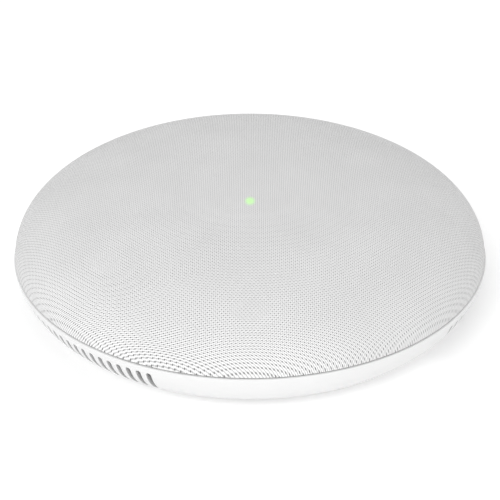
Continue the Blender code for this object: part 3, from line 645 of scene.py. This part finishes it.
def board_material():
    """Green solder mask with copper tracks showing through as lighter lines, and rows of small pads."""
    made = Shader("circuit_board")
    finer = dict(Detail=1.0, Detail_Scale=0.6)
    tracks = made.add("TexWave", Scale=260.0, Distortion=9.0, Vector=made.place, **finer)
    tracks.wave_profile = "SAW"
    line = made.step(tracks.outputs["Fac"], 0.72, 0.8)
    pads = made.add("TexVoronoi", Scale=420.0, Vector=made.place)
    pads.distance = "CHEBYCHEV"
    pad = made.minus(1.0, made.step(pads.outputs["Distance"], 0.16, 0.2))
    mask = made.mix(line, (0.012, 0.11, 0.05), (0.03, 0.2, 0.085))
    base = made.mix(pad, mask, (0.72, 0.68, 0.6))
    rough = made.spread(pad, 0.38, 0.25)
    height = made.plus(made.times(line, 0.4), pad)
    return made.finish(Base_Color=base, Roughness=rough, Normal=made.bump(height, 0.02 * MM), Coat_Weight=0.3)


def cloth_material(name, colour, pitch):
    made = Shader(name)
    right, back, _ = made.axes()
    height, opening = threads(made, made.times(right, 1 / pitch), made.times(back, 1 / pitch))
    base = made.mix(made.step(opening, 0.2, 0.8), colour, shade(colour, 0.35))
    return made.finish(Base_Color=base, Roughness=0.85, Normal=made.bump(height, 0.05 * MM))


def coil_material():
    """Copper winding: turns of 0.2 mm wire stacked along Z."""
    made = Shader("copper_winding")
    up = made.axes()[2]
    turns = made.math("ABSOLUTE", made.math("SINE", made.times(up, math.pi / (0.2 * MM))))
    base = made.ramp(turns, (0.0, (0.2, 0.06, 0.02)), (0.5, (0.75, 0.33, 0.15)))
    return made.finish(Base_Color=base, Roughness=0.35, Metallic=1.0, Normal=made.bump(turns, 0.05 * MM))


def paper_material():
    """Pressed pulp of the speaker cone: matt black with short fibres."""
    made = Shader("paper_cone")
    fibres = made.noise(1500, 6, 0.7)
    rings = made.add("TexWave", Scale=150.0, Distortion=0.6, Vector=made.place)
    rings.wave_type = "RINGS"
    rings.rings_direction = "Z"
    base = made.ramp(fibres, (0.3, (0.012, 0.012, 0.012)), (0.75, (0.055, 0.055, 0.058)))
    height = made.plus(fibres, made.times(rings.outputs["Fac"], 0.5))
    return made.finish(Base_Color=base, Roughness=0.8, Normal=made.bump(height, 0.05 * MM))


def clear_material():
    """The light pipe: clear moulded acrylic with a faint haze."""
    made = Shader("clear_acrylic")
    haze = made.noise(300, 3)
    base = made.ramp(haze, (0.3, (0.80, 0.95, 0.82)), (0.7, (0.92, 1.0, 0.93)))
    rough = made.spread(haze, 0.08, 0.2)
    return made.finish(Base_Color=base, Roughness=rough, Transmission_Weight=0.9, IOR=1.49)


def led_material():
    made = Shader("green_led")
    base = made.ramp(made.noise(900, 2), (0.3, (0.75, 0.78, 0.45)), (0.7, (0.85, 0.88, 0.55)))
    glow = dict(Emission_Color=(0.42, 1.0, 0.35), Emission_Strength=3.0)
    return made.finish(Base_Color=base, Roughness=0.3, **glow)


satin = dict(grain=0.3, depth=0.004, variation=0.02, Specular_IOR_Level=0.2)
WHITE = moulded("white_plastic", (0.77, 0.77, 0.77), 0.5, **satin)
GREY = moulded("grey_plastic", (0.3, 0.31, 0.32), 0.5)
# grey on the inner walls of the vents and holes is painted shade: the walls are the bowl's own white plastic
VENT_WALL_SHADE = moulded("vent_wall_painted_shade", (0.58, 0.58, 0.58), 0.6)
BLACK = moulded("black_plastic", (0.025, 0.025, 0.027), 0.4, variation=0.2)
SILICONE = moulded("grey_silicone", (0.38, 0.385, 0.39), 0.72, grain=0.5, depth=0.012)
RUBBER = moulded("black_rubber", (0.02, 0.02, 0.021), 0.6, grain=0.4, depth=0.01, variation=0.2)
RED_WIRE = moulded("red_wire", (0.5, 0.02, 0.02), 0.4, variation=0.1)
PAD = moulded("thermal_pad", (0.42, 0.47, 0.6), 0.75, grain=0.6, depth=0.02, variation=0.1)
FLEX = moulded("amber_flex", (0.5, 0.25, 0.05), 0.3, variation=0.15)
FOAM = foam("dark_foam", (0.045, 0.045, 0.05))
# grey of the seam gasket: partly the foam's colour, partly painted shade for the seam's shadow line
SEAM_FOAM_SHADE = foam("grey_foam_seam_shade", (0.3, 0.3, 0.3))
STEEL = metal("zinc_plated_steel", (0.62, 0.63, 0.64), 0.32)
MAGNET = metal("nickel_plate", (0.58, 0.55, 0.5), 0.25)
ALUMINIUM = metal("aluminium", (0.8, 0.81, 0.82), 0.36, stretch=(1, 12, 1))
FABRIC = fabric_material()
VENT_MESH = mesh_material()
BOARD = board_material()
SPIDER_CLOTH = cloth_material("amber_cloth", (0.5, 0.3, 0.1), 0.6 * MM)
COPPER = coil_material()
PAPER = paper_material()
CLEAR = clear_material()
LED = led_material()

# The CAD nodes that stay visible, by the material they take
KEPT = {
    WHITE: ["grille_dome"],
    GREY: ["inner_frame", "speaker_tub"],
    BLACK: ["mute_switch", "reset_switch"],
    STEEL: [
        "driver_basket", "motor_cup", "pole_plate", "processor_shield", "radio_shield",
        *[f"base_screw_{n}" for n in (1, 2, 3, 4)], *[f"driver_screw_{n}" for n in (1, 2, 3, 4)],
        *[f"board_screw_{n}" for n in (1, 2, 3)], *[f"microphone_{n}" for n in (1, 2, 3)],
    ],
    MAGNET: ["magnet"],
    ALUMINIUM: ["heat_spreader", "capacitor_1", "capacitor_2"],
    COPPER: ["voice_coil"],
    RUBBER: ["wire_grommet", "speaker_wire_black"],
    BOARD: ["sensor_board", "main_board", "antenna_left", "antenna_right"],
    CLEAR: ["light_pipe"],
    LED: ["status_led"],
    PAD: ["thermal_pad"],
    FLEX: ["flex_cable"],
    RED_WIRE: ["speaker_wire_red"],
}


def finish_kept_nodes():
    for material, names in KEPT.items():
        for name in names:
            for slot in NODES[name].material_slots:
                slot.material = material


# ---- cloth and seam


def cloth_lattice(solid, edge):
    """The dome out to the edge, with every second corner dimpled; gives back its rim's corners in order."""
    across, along = SEAM_RADIUS / (2 * WEAVE_X), SEAM_RADIUS / (2 * WEAVE_Y)
    limit = cloth_radius(edge) - 0.25 * across
    reach_x, reach_y = int(limit / across) + 2, int(limit / along) + 2
    grid = {}
    rim = []

    def corner(i, j):
        if (i, j) in grid:
            return grid[i, j]
        place = Vector((i * across, j * along, 0))
        outside = place.length >= limit
        if place.length > 0:
            place *= (edge if outside else radius_on_dome(place.length)) / place.length
        radius = place.length
        fade = min(max((edge - radius) / (2 * MM), 0), 1)
        place.z = dome_height(radius) - (RELIEF * fade if (i + j) % 2 == 0 else 0)
        grid[i, j] = solid.verts.new(place)
        if outside:
            rim.append(grid[i, j])
        return grid[i, j]

    for i in range(-reach_x, reach_x):
        for j in range(-reach_y, reach_y):
            square = ((i, j), (i + 1, j), (i + 1, j + 1), (i, j + 1))
            if not any(math.hypot(x * across, y * along) < limit for x, y in square):
                continue
            if (i + j) % 2 == 0:  # keep the ridge between the two high corners
                square = square[1:] + square[:1]
            a, b, c, d = (corner(*point) for point in square)
            solid.faces.new((a, b, c))
            solid.faces.new((a, c, d))
    bmesh.ops.remove_doubles(solid, verts=rim, dist=0.02 * MM)
    found = {v for e in solid.edges if e.is_boundary for v in e.verts}
    return sorted(found, key=lambda v: math.atan2(v.co.x, -v.co.y))


def cloth_hem(edge):
    """The (radius, z) of the cloth from the lattice's edge, round the rim, under it and up its inner side."""
    roll, tuck = 0.25 * MM, SEAM_RADIUS - 2.0 * MM
    drop = dome_height(edge) - FABRIC_LOW
    heights = [FABRIC_LOW + drop * (1 - i / 9) ** 1.2 for i in range(1, 9)]
    profile = [(dome_radius(z), z) for z in heights if z > FABRIC_LOW + roll]
    for turn in spaced(0, math.pi / 2, 3):
        profile.append((SEAM_RADIUS - roll * (1 - math.cos(turn)), FABRIC_LOW + roll * (1 - math.sin(turn))))
    profile += [(tuck, FABRIC_LOW), (tuck, FABRIC_LOW + FABRIC_THICKNESS)]
    for turn in spaced(math.pi / 2, 0, 24)[:-1]:
        radius = (SEAM_RADIUS - FABRIC_THICKNESS) * math.sin(turn) ** (2 / DOME_POWER)
        if radius < tuck:
            profile.append((radius, dome_height(radius, FABRIC_THICKNESS)))
    return profile


def build_fabric():
    """One stretched sheet: dimpled by its weave over the dome, rolled over the rim and tucked under."""
    edge = SEAM_RADIUS * 0.985
    solid = bmesh.new()
    order = cloth_lattice(solid, edge)
    azimuths = [math.degrees(math.atan2(v.co.x, -v.co.y)) for v in order]
    rings = [[polar(radius, a, z) for a in azimuths] for radius, z in cloth_hem(edge)]
    last = skin(solid, [order] + rings)[-1]
    middle = solid.verts.new((0, 0, dome_height(0, FABRIC_THICKNESS)))
    for i, corner in enumerate(last):
        solid.faces.new((corner, last[(i + 1) % len(last)], middle))
    bmesh.ops.recalc_face_normals(solid, faces=solid.faces)
    cover = new_piece("fabric_sheet", solid, [FABRIC], "fabric_cover", "fabric", sharp=0)


def build_gasket():
    """A foam ring whose thin outer lip lies in the seam, a little inside the edge of the cloth. The lip's
    grey is partly the foam's own colour and partly painted shade standing in for the seam's shadow line.
    """
    low = heights("rim_gasket")[0]
    inner, outer, lip = 81.2 * MM, 82.9 * MM, 84.2 * MM
    lip_low, lip_top = SHELL_TOP + 0.05 * MM, FABRIC_LOW - 0.05 * MM
    corners = [(inner, low, 0.2 * MM), (outer, low, 0.2 * MM), (outer, lip_low, 0)]
    corners += [(lip, lip_low, 0.1 * MM), (lip, lip_top, 0.15 * MM), (inner, lip_top, 0.3 * MM)]
    turned_piece("seam_gasket", rounded(corners), SEAM_FOAM_SHADE, "rim_gasket", "dark_foam")


# ---- base


def lip_profile():
    """The bowl above its patched wall: up to the rim, over it, down to the ledge for the seal and in."""
    wall_top, neck = BAND_OUTER[1], 17.4 * MM
    ledge, ledge_low, ledge_top = 80.4 * MM, BAND_INNER[1], 17.2 * MM
    inner, fillet = 83.2 * MM, 0.15 * MM
    corners = [
        (bowl_radius(neck), neck, 0), (bowl_radius(SHELL_TOP), SHELL_TOP, fillet),
        (inner, SHELL_TOP, fillet), (inner, ledge_top, 0), (ledge, ledge_top, 0.1 * MM),
        (ledge, ledge_low, 0), (bowl_radius(ledge_low, WALL), ledge_low, 0),
    ]
    return [(bowl_radius(wall_top), wall_top)] + rounded(corners, closed=False)


def foot_profile():
    """The bowl below its patched wall: in to the flange, round it to the cover's rebate, and out again."""
    inner, rebate, low = 46.0 * MM, 68.3 * MM, SHELL_LOW
    below = bowl_curve(0, 1.9 * MM, BAND_OUTER[0], 6)
    corners = [
        (bowl_radius(BAND_INNER[0], WALL), BAND_INNER[0], 0), (inner, FLANGE_Z[1], 0.2 * MM),
        (inner, FLANGE_Z[0], 0.2 * MM), (rebate, FLANGE_Z[0], 0), (rebate, low, 0.25 * MM),
        (bowl_radius(low), low, 0.5 * MM), (*below[0], 0),
    ]
    return rounded(corners, closed=False) + below[1:]


def build_shell():
    """The bowl: a wall in patches, some with a vent, a port hole or a slot, between two turned strips."""
    patches = patch_plan()
    solid = bmesh.new()
    port, port_columns = merge_patches(patches, PORT_SPAN)
    mute, mute_columns = merge_patches(patches, MUTE_SPAN)
    vent = (VENT_WIDTH, VENT_Z[1] - VENT_Z[0], VENT_WIDTH / 2)
    vent_middle = (VENT_Z[0] + VENT_Z[1]) / 2
    for patch in patches:
        azimuths, middle = patch
        if middle is not None:
            pierced_patch(solid, azimuths, vent, vent_middle, middle, ACROSS // 2, VENT_EDGE, VENT_SILL)
        elif patch not in port and patch not in mute:
            plain_patch(solid, azimuths)
    pierced_patch(solid, port_columns, PORT_HOLE, PORT_Z, BACK, 4, BACK_EDGE, steps=BACK_STEPS)
    pierced_patch(solid, mute_columns, MUTE_HOLE, MUTE_Z, MUTE_HOLE_AZIMUTH, 3, BACK_EDGE, steps=BACK_STEPS)
    columns = [a for azimuths, _ in patches for a in azimuths[:-1]]
    for profile in (lip_profile(), foot_profile()):
        lathe(solid, profile, columns, closed=False)
    bowl = new_piece("base_bowl", tidy(solid, 2e-6), [WHITE, VENT_WALL_SHADE], "base_shell", "white_plastic")

    posts, holes = bmesh.new(), bmesh.new()
    radius, low, top = 2.4 * MM, 4.7 * MM, 8.5 * MM
    post = rounded([(0, low, 0), (radius, low, 0), (radius, top, 0.2 * MM), (0, top, 0)], closed=False)
    for azimuth in POST_AZIMUTHS:
        lathe(posts, post, evenly(32), False, polar(POST_RADIUS, azimuth))
        add_rod(holes, 1.1 * MM, 4.2 * MM, 9 * MM, polar(POST_RADIUS, azimuth))
    for azimuth in SCREW_AZIMUTHS:
        add_rod(holes, SCREW_HOLE, 3 * MM, 7 * MM, polar(SCREW_RADIUS, azimuth))
    add_rod(holes, RESET_HOLE, 3 * MM, 7 * MM, polar(RESET_RADIUS, BACK), 48)
    combine(bowl, tidy(posts), "UNION", 35)
    combine(bowl, tidy(holes), "DIFFERENCE", 35)


def build_vent_meshes():
    bottom, top = MESH_Z
    near, far = WALL + 0.5 * MM, WALL + 1.0 * MM
    profile = bowl_curve(far, top, bottom, 12) + bowl_curve(near, bottom, top, 12)
    for side, run in zip(("left", "right"), vent_runs()):
        solid = bmesh.new()
        azimuths = spaced(run[-1] - 2, run[0] + 2, 120)
        skin(solid, [[polar(radius, a, z) for radius, z in profile] for a in azimuths], caps=True)
        new_piece(f"dust_mesh_{side}", tidy(solid), [VENT_MESH], f"vent_mesh_{side}", "vent_mesh")


def build_cover():
    """The plate under the base, with a groove for the foot, a shallow dish and holes for screws and reset."""
    low, high = heights("bottom_cover")
    groove, inner, outer = 2.0 * MM, 47.7 * MM, 58.3 * MM
    dish = low + 0.25 * MM
    corners = [
        (0, dish, 0), (40 * MM, dish, 0.2 * MM), (40.6 * MM, low, 0.3 * MM), (inner, low, 0.2 * MM),
        (inner, groove, 0), (outer, groove, 0), (outer, low, 0.2 * MM), (COVER_RADIUS, low, 0.35 * MM),
        (COVER_RADIUS, high, 0.2 * MM), (0, high, 0),
    ]
    profile = rounded(corners, closed=False)
    cover = turned_piece("base_cover", profile, WHITE, "bottom_cover", "white_plastic", closed=False)
    holes = bmesh.new()
    add_rod(holes, RESET_HOLE, 0, 6 * MM, polar(RESET_RADIUS, BACK), 48)
    low, shoulder, high = 1.5 * MM, 3.1 * MM, 5 * MM
    hole = [(0, low), (SCREW_HEAD_HOLE, low), (SCREW_HEAD_HOLE, shoulder)]
    hole += [(SCREW_HOLE, shoulder), (SCREW_HOLE, high), (0, high)]
    for azimuth in SCREW_AZIMUTHS:
        lathe(holes, hole, evenly(32), False, polar(SCREW_RADIUS, azimuth))
    combine(cover, tidy(holes), "DIFFERENCE")


def build_foot():
    """The soft foot ring, with three shallow grooves for grip."""
    low, high = heights("foot_ring")
    inner, outer = 48 * MM, 58 * MM
    corners = [(inner, high, 0.1 * MM), (inner, low, 0.5 * MM)]
    for middle in (50.6 * MM, 53.0 * MM, 55.4 * MM):
        corners += [(middle - 0.35 * MM, low, 0.08 * MM), (middle, low + 0.25 * MM, 0.1 * MM)]
        corners += [(middle + 0.35 * MM, low, 0.08 * MM)]
    corners += [(outer, low, 0.5 * MM), (outer, high, 0.1 * MM)]
    turned_piece("foot_pad", rounded(corners), SILICONE, "foot_ring", "grey_silicone")


def build_reset_button():
    """A pin with a dished end and, inside, a collar that stops it from falling out."""
    low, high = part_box("reset_button")
    pin, collar, collar_z = 1.5 * MM, 2.6 * MM, 5.9 * MM
    corners = [
        (0, low.z + 0.3 * MM, 0), (0.8 * MM, low.z + 0.15 * MM, 0.2 * MM), (1.2 * MM, low.z, 0.15 * MM),
        (pin, low.z, 0.2 * MM), (pin, collar_z, 0), (collar, collar_z, 0.1 * MM),
        (collar, high.z, 0.15 * MM), (0, high.z, 0),
    ]
    form = dict(sides=48, closed=False, centre=(low + high) / 2)
    profile = rounded(corners, closed=False)
    turned_piece("reset_plunger", profile, GREY, "reset_button", "grey_plastic", body="reset", **form)


# ---- socket and mute slider


def wall_loop(size, z, reach=None, grow=0.0, inset=None, azimuth=BACK):
    """A rounded rectangle across the wall, at a distance from the axis or an inset from the bowl's face."""
    points = []
    ahead, along = outward(azimuth), outward(azimuth + 90)
    for side, up in outline(size, LOOP_STEPS, grow):
        if inset is not None:
            reach = math.sqrt(bowl_radius(z + up, inset) ** 2 - side**2)
        points.append(ahead * reach + along * side + Vector((0, 0, z + up)))
    return points


def wall_rings(z, *rows, azimuth=BACK):
    """Rounded rectangles from rows of (size, distance from the axis, growth all round)."""
    return [wall_loop(size, z, reach, grow, azimuth=azimuth) for size, reach, grow in rows]


def build_port():
    """The socket's surround, with a rounded edge at the wall and a floor round the mouth of the socket."""
    size = (14.0 * MM, 7.6 * MM, 1.4 * MM)
    opening = (12.0 * MM, 5.6 * MM, 0.9 * MM)
    mouth = (9.6 * MM, 3.9 * MM, 1.9 * MM)
    back, floor = 75.0 * MM, 76.0 * MM
    face, edge = 0.15 * MM, 0.2 * MM  # how far its face lies inside the wall, and its fillet
    rings = [wall_loop(size, PORT_Z, back)]
    for shape, shares in ((size, ((0, 1), (-0.3, 0.3), (-1, 0))), (opening, ((1, 0), (0.3, 0.3), (0, 1)))):
        for grow, depth in shares:
            rings.append(wall_loop(shape, PORT_Z, grow=edge * grow, inset=face + edge * depth))
    rings += wall_rings(
        PORT_Z, (opening, floor + 0.3 * MM, 0), (opening, floor, -0.3 * MM), (mouth, floor, 0.15 * MM),
        (mouth, floor - 0.15 * MM, 0), (mouth, back, 0), (size, back, 0),
    )
    solid = bmesh.new()
    skin(solid, rings)
    new_piece("port_surround", tidy(solid), [GREY], "port_bezel", "grey_plastic")


def build_socket():
    """The socket's drawn steel shell, and its tongue with eight contacts on each side."""
    outer, inner = (8.9 * MM, 3.2 * MM, 1.55 * MM), (8.2 * MM, 2.5 * MM, 1.2 * MM)
    rear, front = 68.4 * MM, 75.8 * MM
    edge = 0.08 * MM
    solid = bmesh.new()
    rings = wall_rings(
        PORT_Z, (outer, rear, -0.3 * MM), (outer, rear + 0.3 * MM, 0), (outer, front - edge, 0),
        (outer, front, -edge), (inner, front, edge), (inner, front - edge, 0), (inner, rear + 1.0 * MM, 0),
    )
    skin(solid, rings, caps=True)
    new_piece("socket_shell", tidy(solid), [STEEL], "usb_socket", "steel")

    solid = bmesh.new()
    tongue = (6.4 * MM, 0.7 * MM, 0.12 * MM)
    rings = wall_rings(
        PORT_Z, (tongue, 69.8 * MM, 0), (tongue, 74.6 * MM, 0), (tongue, 74.75 * MM, -0.05 * MM),
        (tongue, 74.8 * MM, -0.1 * MM),
    )
    skin(solid, rings, caps=True)
    tidy(solid)
    contact = Matrix.Diagonal((0.32 * MM, 2.6 * MM, 0.06 * MM, 1))
    for side in (1, -1):
        for k in range(8):
            lie = Matrix.Translation(((k - 3.5) * 0.7 * MM, 73.0 * MM, PORT_Z + side * 0.35 * MM))
            made = bmesh.ops.create_cube(solid, size=1, matrix=lie @ contact)
            for face in {f for v in made["verts"] for f in v.link_faces}:
                face.material_index = 1
    gold = metal("gold_contacts", (0.9, 0.62, 0.25), 0.25)
    new_piece("socket_tongue", solid, [BLACK, gold], "usb_tongue", "black_plastic")


def build_mute_slider():
    """Knob, shutter and switch tab as one moulding, with grip ribs across the knob's face."""
    tab, knob = (3.0 * MM, 1.6 * MM, 0.3 * MM), (5.0 * MM, 2.8 * MM, 0.6 * MM)
    shutter = (13.6 * MM, 5.0 * MM, 0.6 * MM)
    rear, front, tip = 76.3 * MM, 77.3 * MM, 83.8 * MM
    edge = 0.25 * MM
    rings = wall_rings(
        MUTE_Z, (tab, 74.2 * MM, -0.2 * MM), (tab, 74.4 * MM, 0), (tab, rear, 0),
        (shutter, rear, -edge), (shutter, rear + edge, 0), (shutter, front - edge, 0),
        (shutter, front, -edge), (knob, front, 0.1 * MM), (knob, front + 0.1 * MM, 0),
        (knob, tip - 0.3 * MM, 0), (knob, tip - 0.1 * MM, -0.1 * MM), (knob, tip, -0.3 * MM),
        azimuth=MUTE_AZIMUTH,
    )
    solid = bmesh.new()
    skin(solid, rings, caps=True)
    tidy(solid)
    ahead, along = outward(MUTE_AZIMUTH), outward(MUTE_AZIMUTH + 90)
    for k in range(-2, 3):
        middle = ahead * tip + along * (k * 0.8 * MM) + Vector((0, 0, MUTE_Z))
        rings = []
        for out, width, height in ((-0.1, 0.4, 1.9), (0.08, 0.4, 1.9), (0.2, 0.26, 1.76)):
            points = outline((width * MM, height * MM, 0.1 * MM), (3, 1, 2))
            rings.append([middle + ahead * out * MM + along * s + Vector((0, 0, u)) for s, u in points])
        skin(solid, rings, caps=True)
    bmesh.ops.recalc_face_normals(solid, faces=solid.faces)
    new_piece("mute_knob", solid, [WHITE], "mute_slider", "white_plastic", body="mute")


# ---- driver and foam


def sheet_profile(curve, thickness):
    """A closed profile for a sheet whose underside follows the curve."""
    return curve + [(radius, z + thickness) for radius, z in curve[::-1]]


def build_surround():
    low = heights("surround")[0]
    middle, roll = 31.6 * MM, 2.4 * MM
    arc = [(middle + roll * math.cos(t), low + roll * math.sin(t)) for t in spaced(math.pi, 0, 24)]
    profile = sheet_profile([(27.0 * MM, low)] + arc + [(37.0 * MM, low)], 0.4 * MM)
    turned_piece("surround_roll", profile, RUBBER, "surround", "rubber", DRIVER_SIDES)


def build_spider():
    """A rippled cloth ring. It dips at its inner edge, which leaves room for the cone's neck."""
    inner, outer, ripples, steps = 10.8 * MM, 24.8 * MM, 8, 64
    thickness, dip = 0.3 * MM, 0.35 * MM
    low, high = heights("spider")
    middle, swing = (low + high - thickness) / 2, (high - low - thickness) / 2
    curve = []
    for share in spaced(0, 1, steps):
        fade = min(1, ripples * share, ripples * (1 - share))
        ripple = swing * fade * math.cos(math.pi * ripples * share)
        z = middle + ripple - dip * max(0, 1 - ripples * share)
        curve.append((inner + (outer - inner) * share, z))
    profile = sheet_profile(curve, thickness)
    turned_piece("spider_ripples", profile, SPIDER_CLOTH, "spider", "amber_cloth", DRIVER_SIDES)


def build_cone():
    neck, edge, thickness = 10.9 * MM, 28.6 * MM, 0.5 * MM
    low, high = heights("cone")
    curve = []
    for share in spaced(0, 1, 32):
        rise = math.sin(math.pi / 2 * share) ** 0.9
        curve.append((neck + (edge - neck) * share, low + (high - thickness - low) * rise))
    profile = sheet_profile(curve, thickness)
    turned_piece("cone_paper", profile, PAPER, "cone", "paper_cone", DRIVER_SIDES, body="cone_assembly")


def build_dust_cap():
    rim, top = heights("dust_cap")
    radius, thickness = 13.5 * MM, 0.4 * MM
    under, over = [], []
    for turn in spaced(0, math.pi / 2, 24):
        for curve, cut_back in ((over, 0), (under, thickness)):
            z = rim + (top - rim - cut_back) * math.cos(turn)
            curve.append(((radius - cut_back) * math.sin(turn), z))
    profile = over[::-1] + under
    turned_piece("cap_dome", profile, PAPER, "dust_cap", "paper_cone", DRIVER_SIDES, body="cone_assembly")


def build_driver_gasket():
    inner, outer, fillet = 37.3 * MM, 39.9 * MM, 0.2 * MM
    low, high = heights("driver_gasket")
    corners = [(r, z, fillet) for r, z in ((inner, low), (outer, low), (outer, high), (inner, high))]
    turned_piece("gasket_foam", rounded(corners), FOAM, "driver_gasket", "dark_foam", DRIVER_SIDES)


def build_foam_ring():
    """The damping foam in the tub: a ring with soft edges and shallow egg-crate bumps on top."""
    low, high = heights("damping_foam")
    inner, outer, edge, bump, spacing = 17.2 * MM, 44.2 * MM, 0.8 * MM, 0.5 * MM, 5.5 * MM
    across, around, bumps = 44, 240, 30
    rings = [[] for _ in range(across + 5)]
    for k in range(around):
        column = [(inner + edge, low), (inner, low + edge)]
        for radius in spaced(inner, outer, across):
            side = min(radius - inner, outer - radius, edge) / edge
            crest = math.cos(math.tau * (radius - inner) / spacing) * math.cos(math.tau * bumps * k / around)
            drop = edge * (1 - math.sqrt(1 - (1 - side) ** 2)) + bump * side * (0.5 - 0.5 * crest)
            column.append((radius, high - drop))
        column += [(outer, low + edge), (outer - edge, low)]
        for ring, (radius, z) in zip(rings, column):
            ring.append(polar(radius, 360 * k / around, z))
    solid = bmesh.new()
    skin(solid, rings + rings[:1])
    new_piece("foam_ring", tidy(solid), [FOAM], "damping_foam", "dark_foam", sharp=0)


# ---- stage


def build_floor():
    made = Shader("studio_floor")
    base = made.ramp(made.noise(3, 2), (0.3, (0.87, 0.87, 0.87)), (0.7, (0.90, 0.90, 0.90)))
    glow = dict(Emission_Color=(1, 1, 1), Emission_Strength=TABLE_GLOW)
    made.finish(Base_Color=base, Roughness=0.75, Specular_IOR_Level=0.2, **glow)
    solid = bmesh.new()
    bmesh.ops.create_grid(solid, x_segments=24, y_segments=24, size=6)
    floor = add_object("studio_floor", solid, [made.material])
    floor.location.z = -0.1 * MM


def build_lights():
    """A soft key light from the front left and a sky that is a little stronger at the front."""
    world = bpy.data.worlds.new("studio")
    world.use_nodes = True
    nodes, links = world.node_tree.nodes, world.node_tree.links
    split = nodes.new("ShaderNodeSeparateXYZ")
    strength = nodes.new("ShaderNodeMapRange")
    links.new(nodes.new("ShaderNodeTexCoord").outputs["Generated"], split.inputs[0])
    links.new(split.outputs["Y"], strength.inputs["Value"])
    for name, value in (("From Min", -1), ("From Max", 1), ("To Min", SKY_FRONT), ("To Max", SKY_BACK)):
        strength.inputs[name].default_value = value
    nodes["Background"].inputs["Color"].default_value = (1, 1, 1, 1)
    links.new(strength.outputs["Result"], nodes["Background"].inputs["Strength"])
    bpy.context.scene.world = world
    bpy.context.scene.view_settings.view_transform = "Standard"

    light = bpy.data.lights.new("key", "AREA")
    light.shape = "DISK"
    light.size = 1.0
    light.energy = KEY_POWER
    key = bpy.data.objects.new("key", light)
    key.location = (-0.5, -1.45, 1.2)
    key.rotation_mode = "QUATERNION"
    key.rotation_quaternion = (-key.location).to_track_quat("-Z", "Y")
    bpy.context.scene.collection.objects.link(key)


def build_camera():
    camera = bpy.data.cameras.new("camera")
    camera.sensor_width = 36
    camera.lens = LENS
    camera.clip_start, camera.clip_end = 0.05, 20
    made = bpy.data.objects.new("camera", camera)
    away, above = CAMERA_DISTANCE * math.cos(CAMERA_ELEVATION), CAMERA_DISTANCE * math.sin(CAMERA_ELEVATION)
    made.location = (0, -away, SEAM_Z + above)
    made.rotation_euler = (math.pi / 2 - CAMERA_PITCH, 0, 0)
    bpy.context.scene.collection.objects.link(made)
    bpy.context.scene.camera = made


build_camera()
build_floor()
build_lights()
finish_kept_nodes()
build_fabric()
build_gasket()
build_shell()
build_vent_meshes()
build_cover()
build_foot()
build_reset_button()
build_port()
build_socket()
build_mute_slider()
build_surround()
build_spider()
build_cone()
build_dust_cap()
build_driver_gasket()
build_foam_ring()
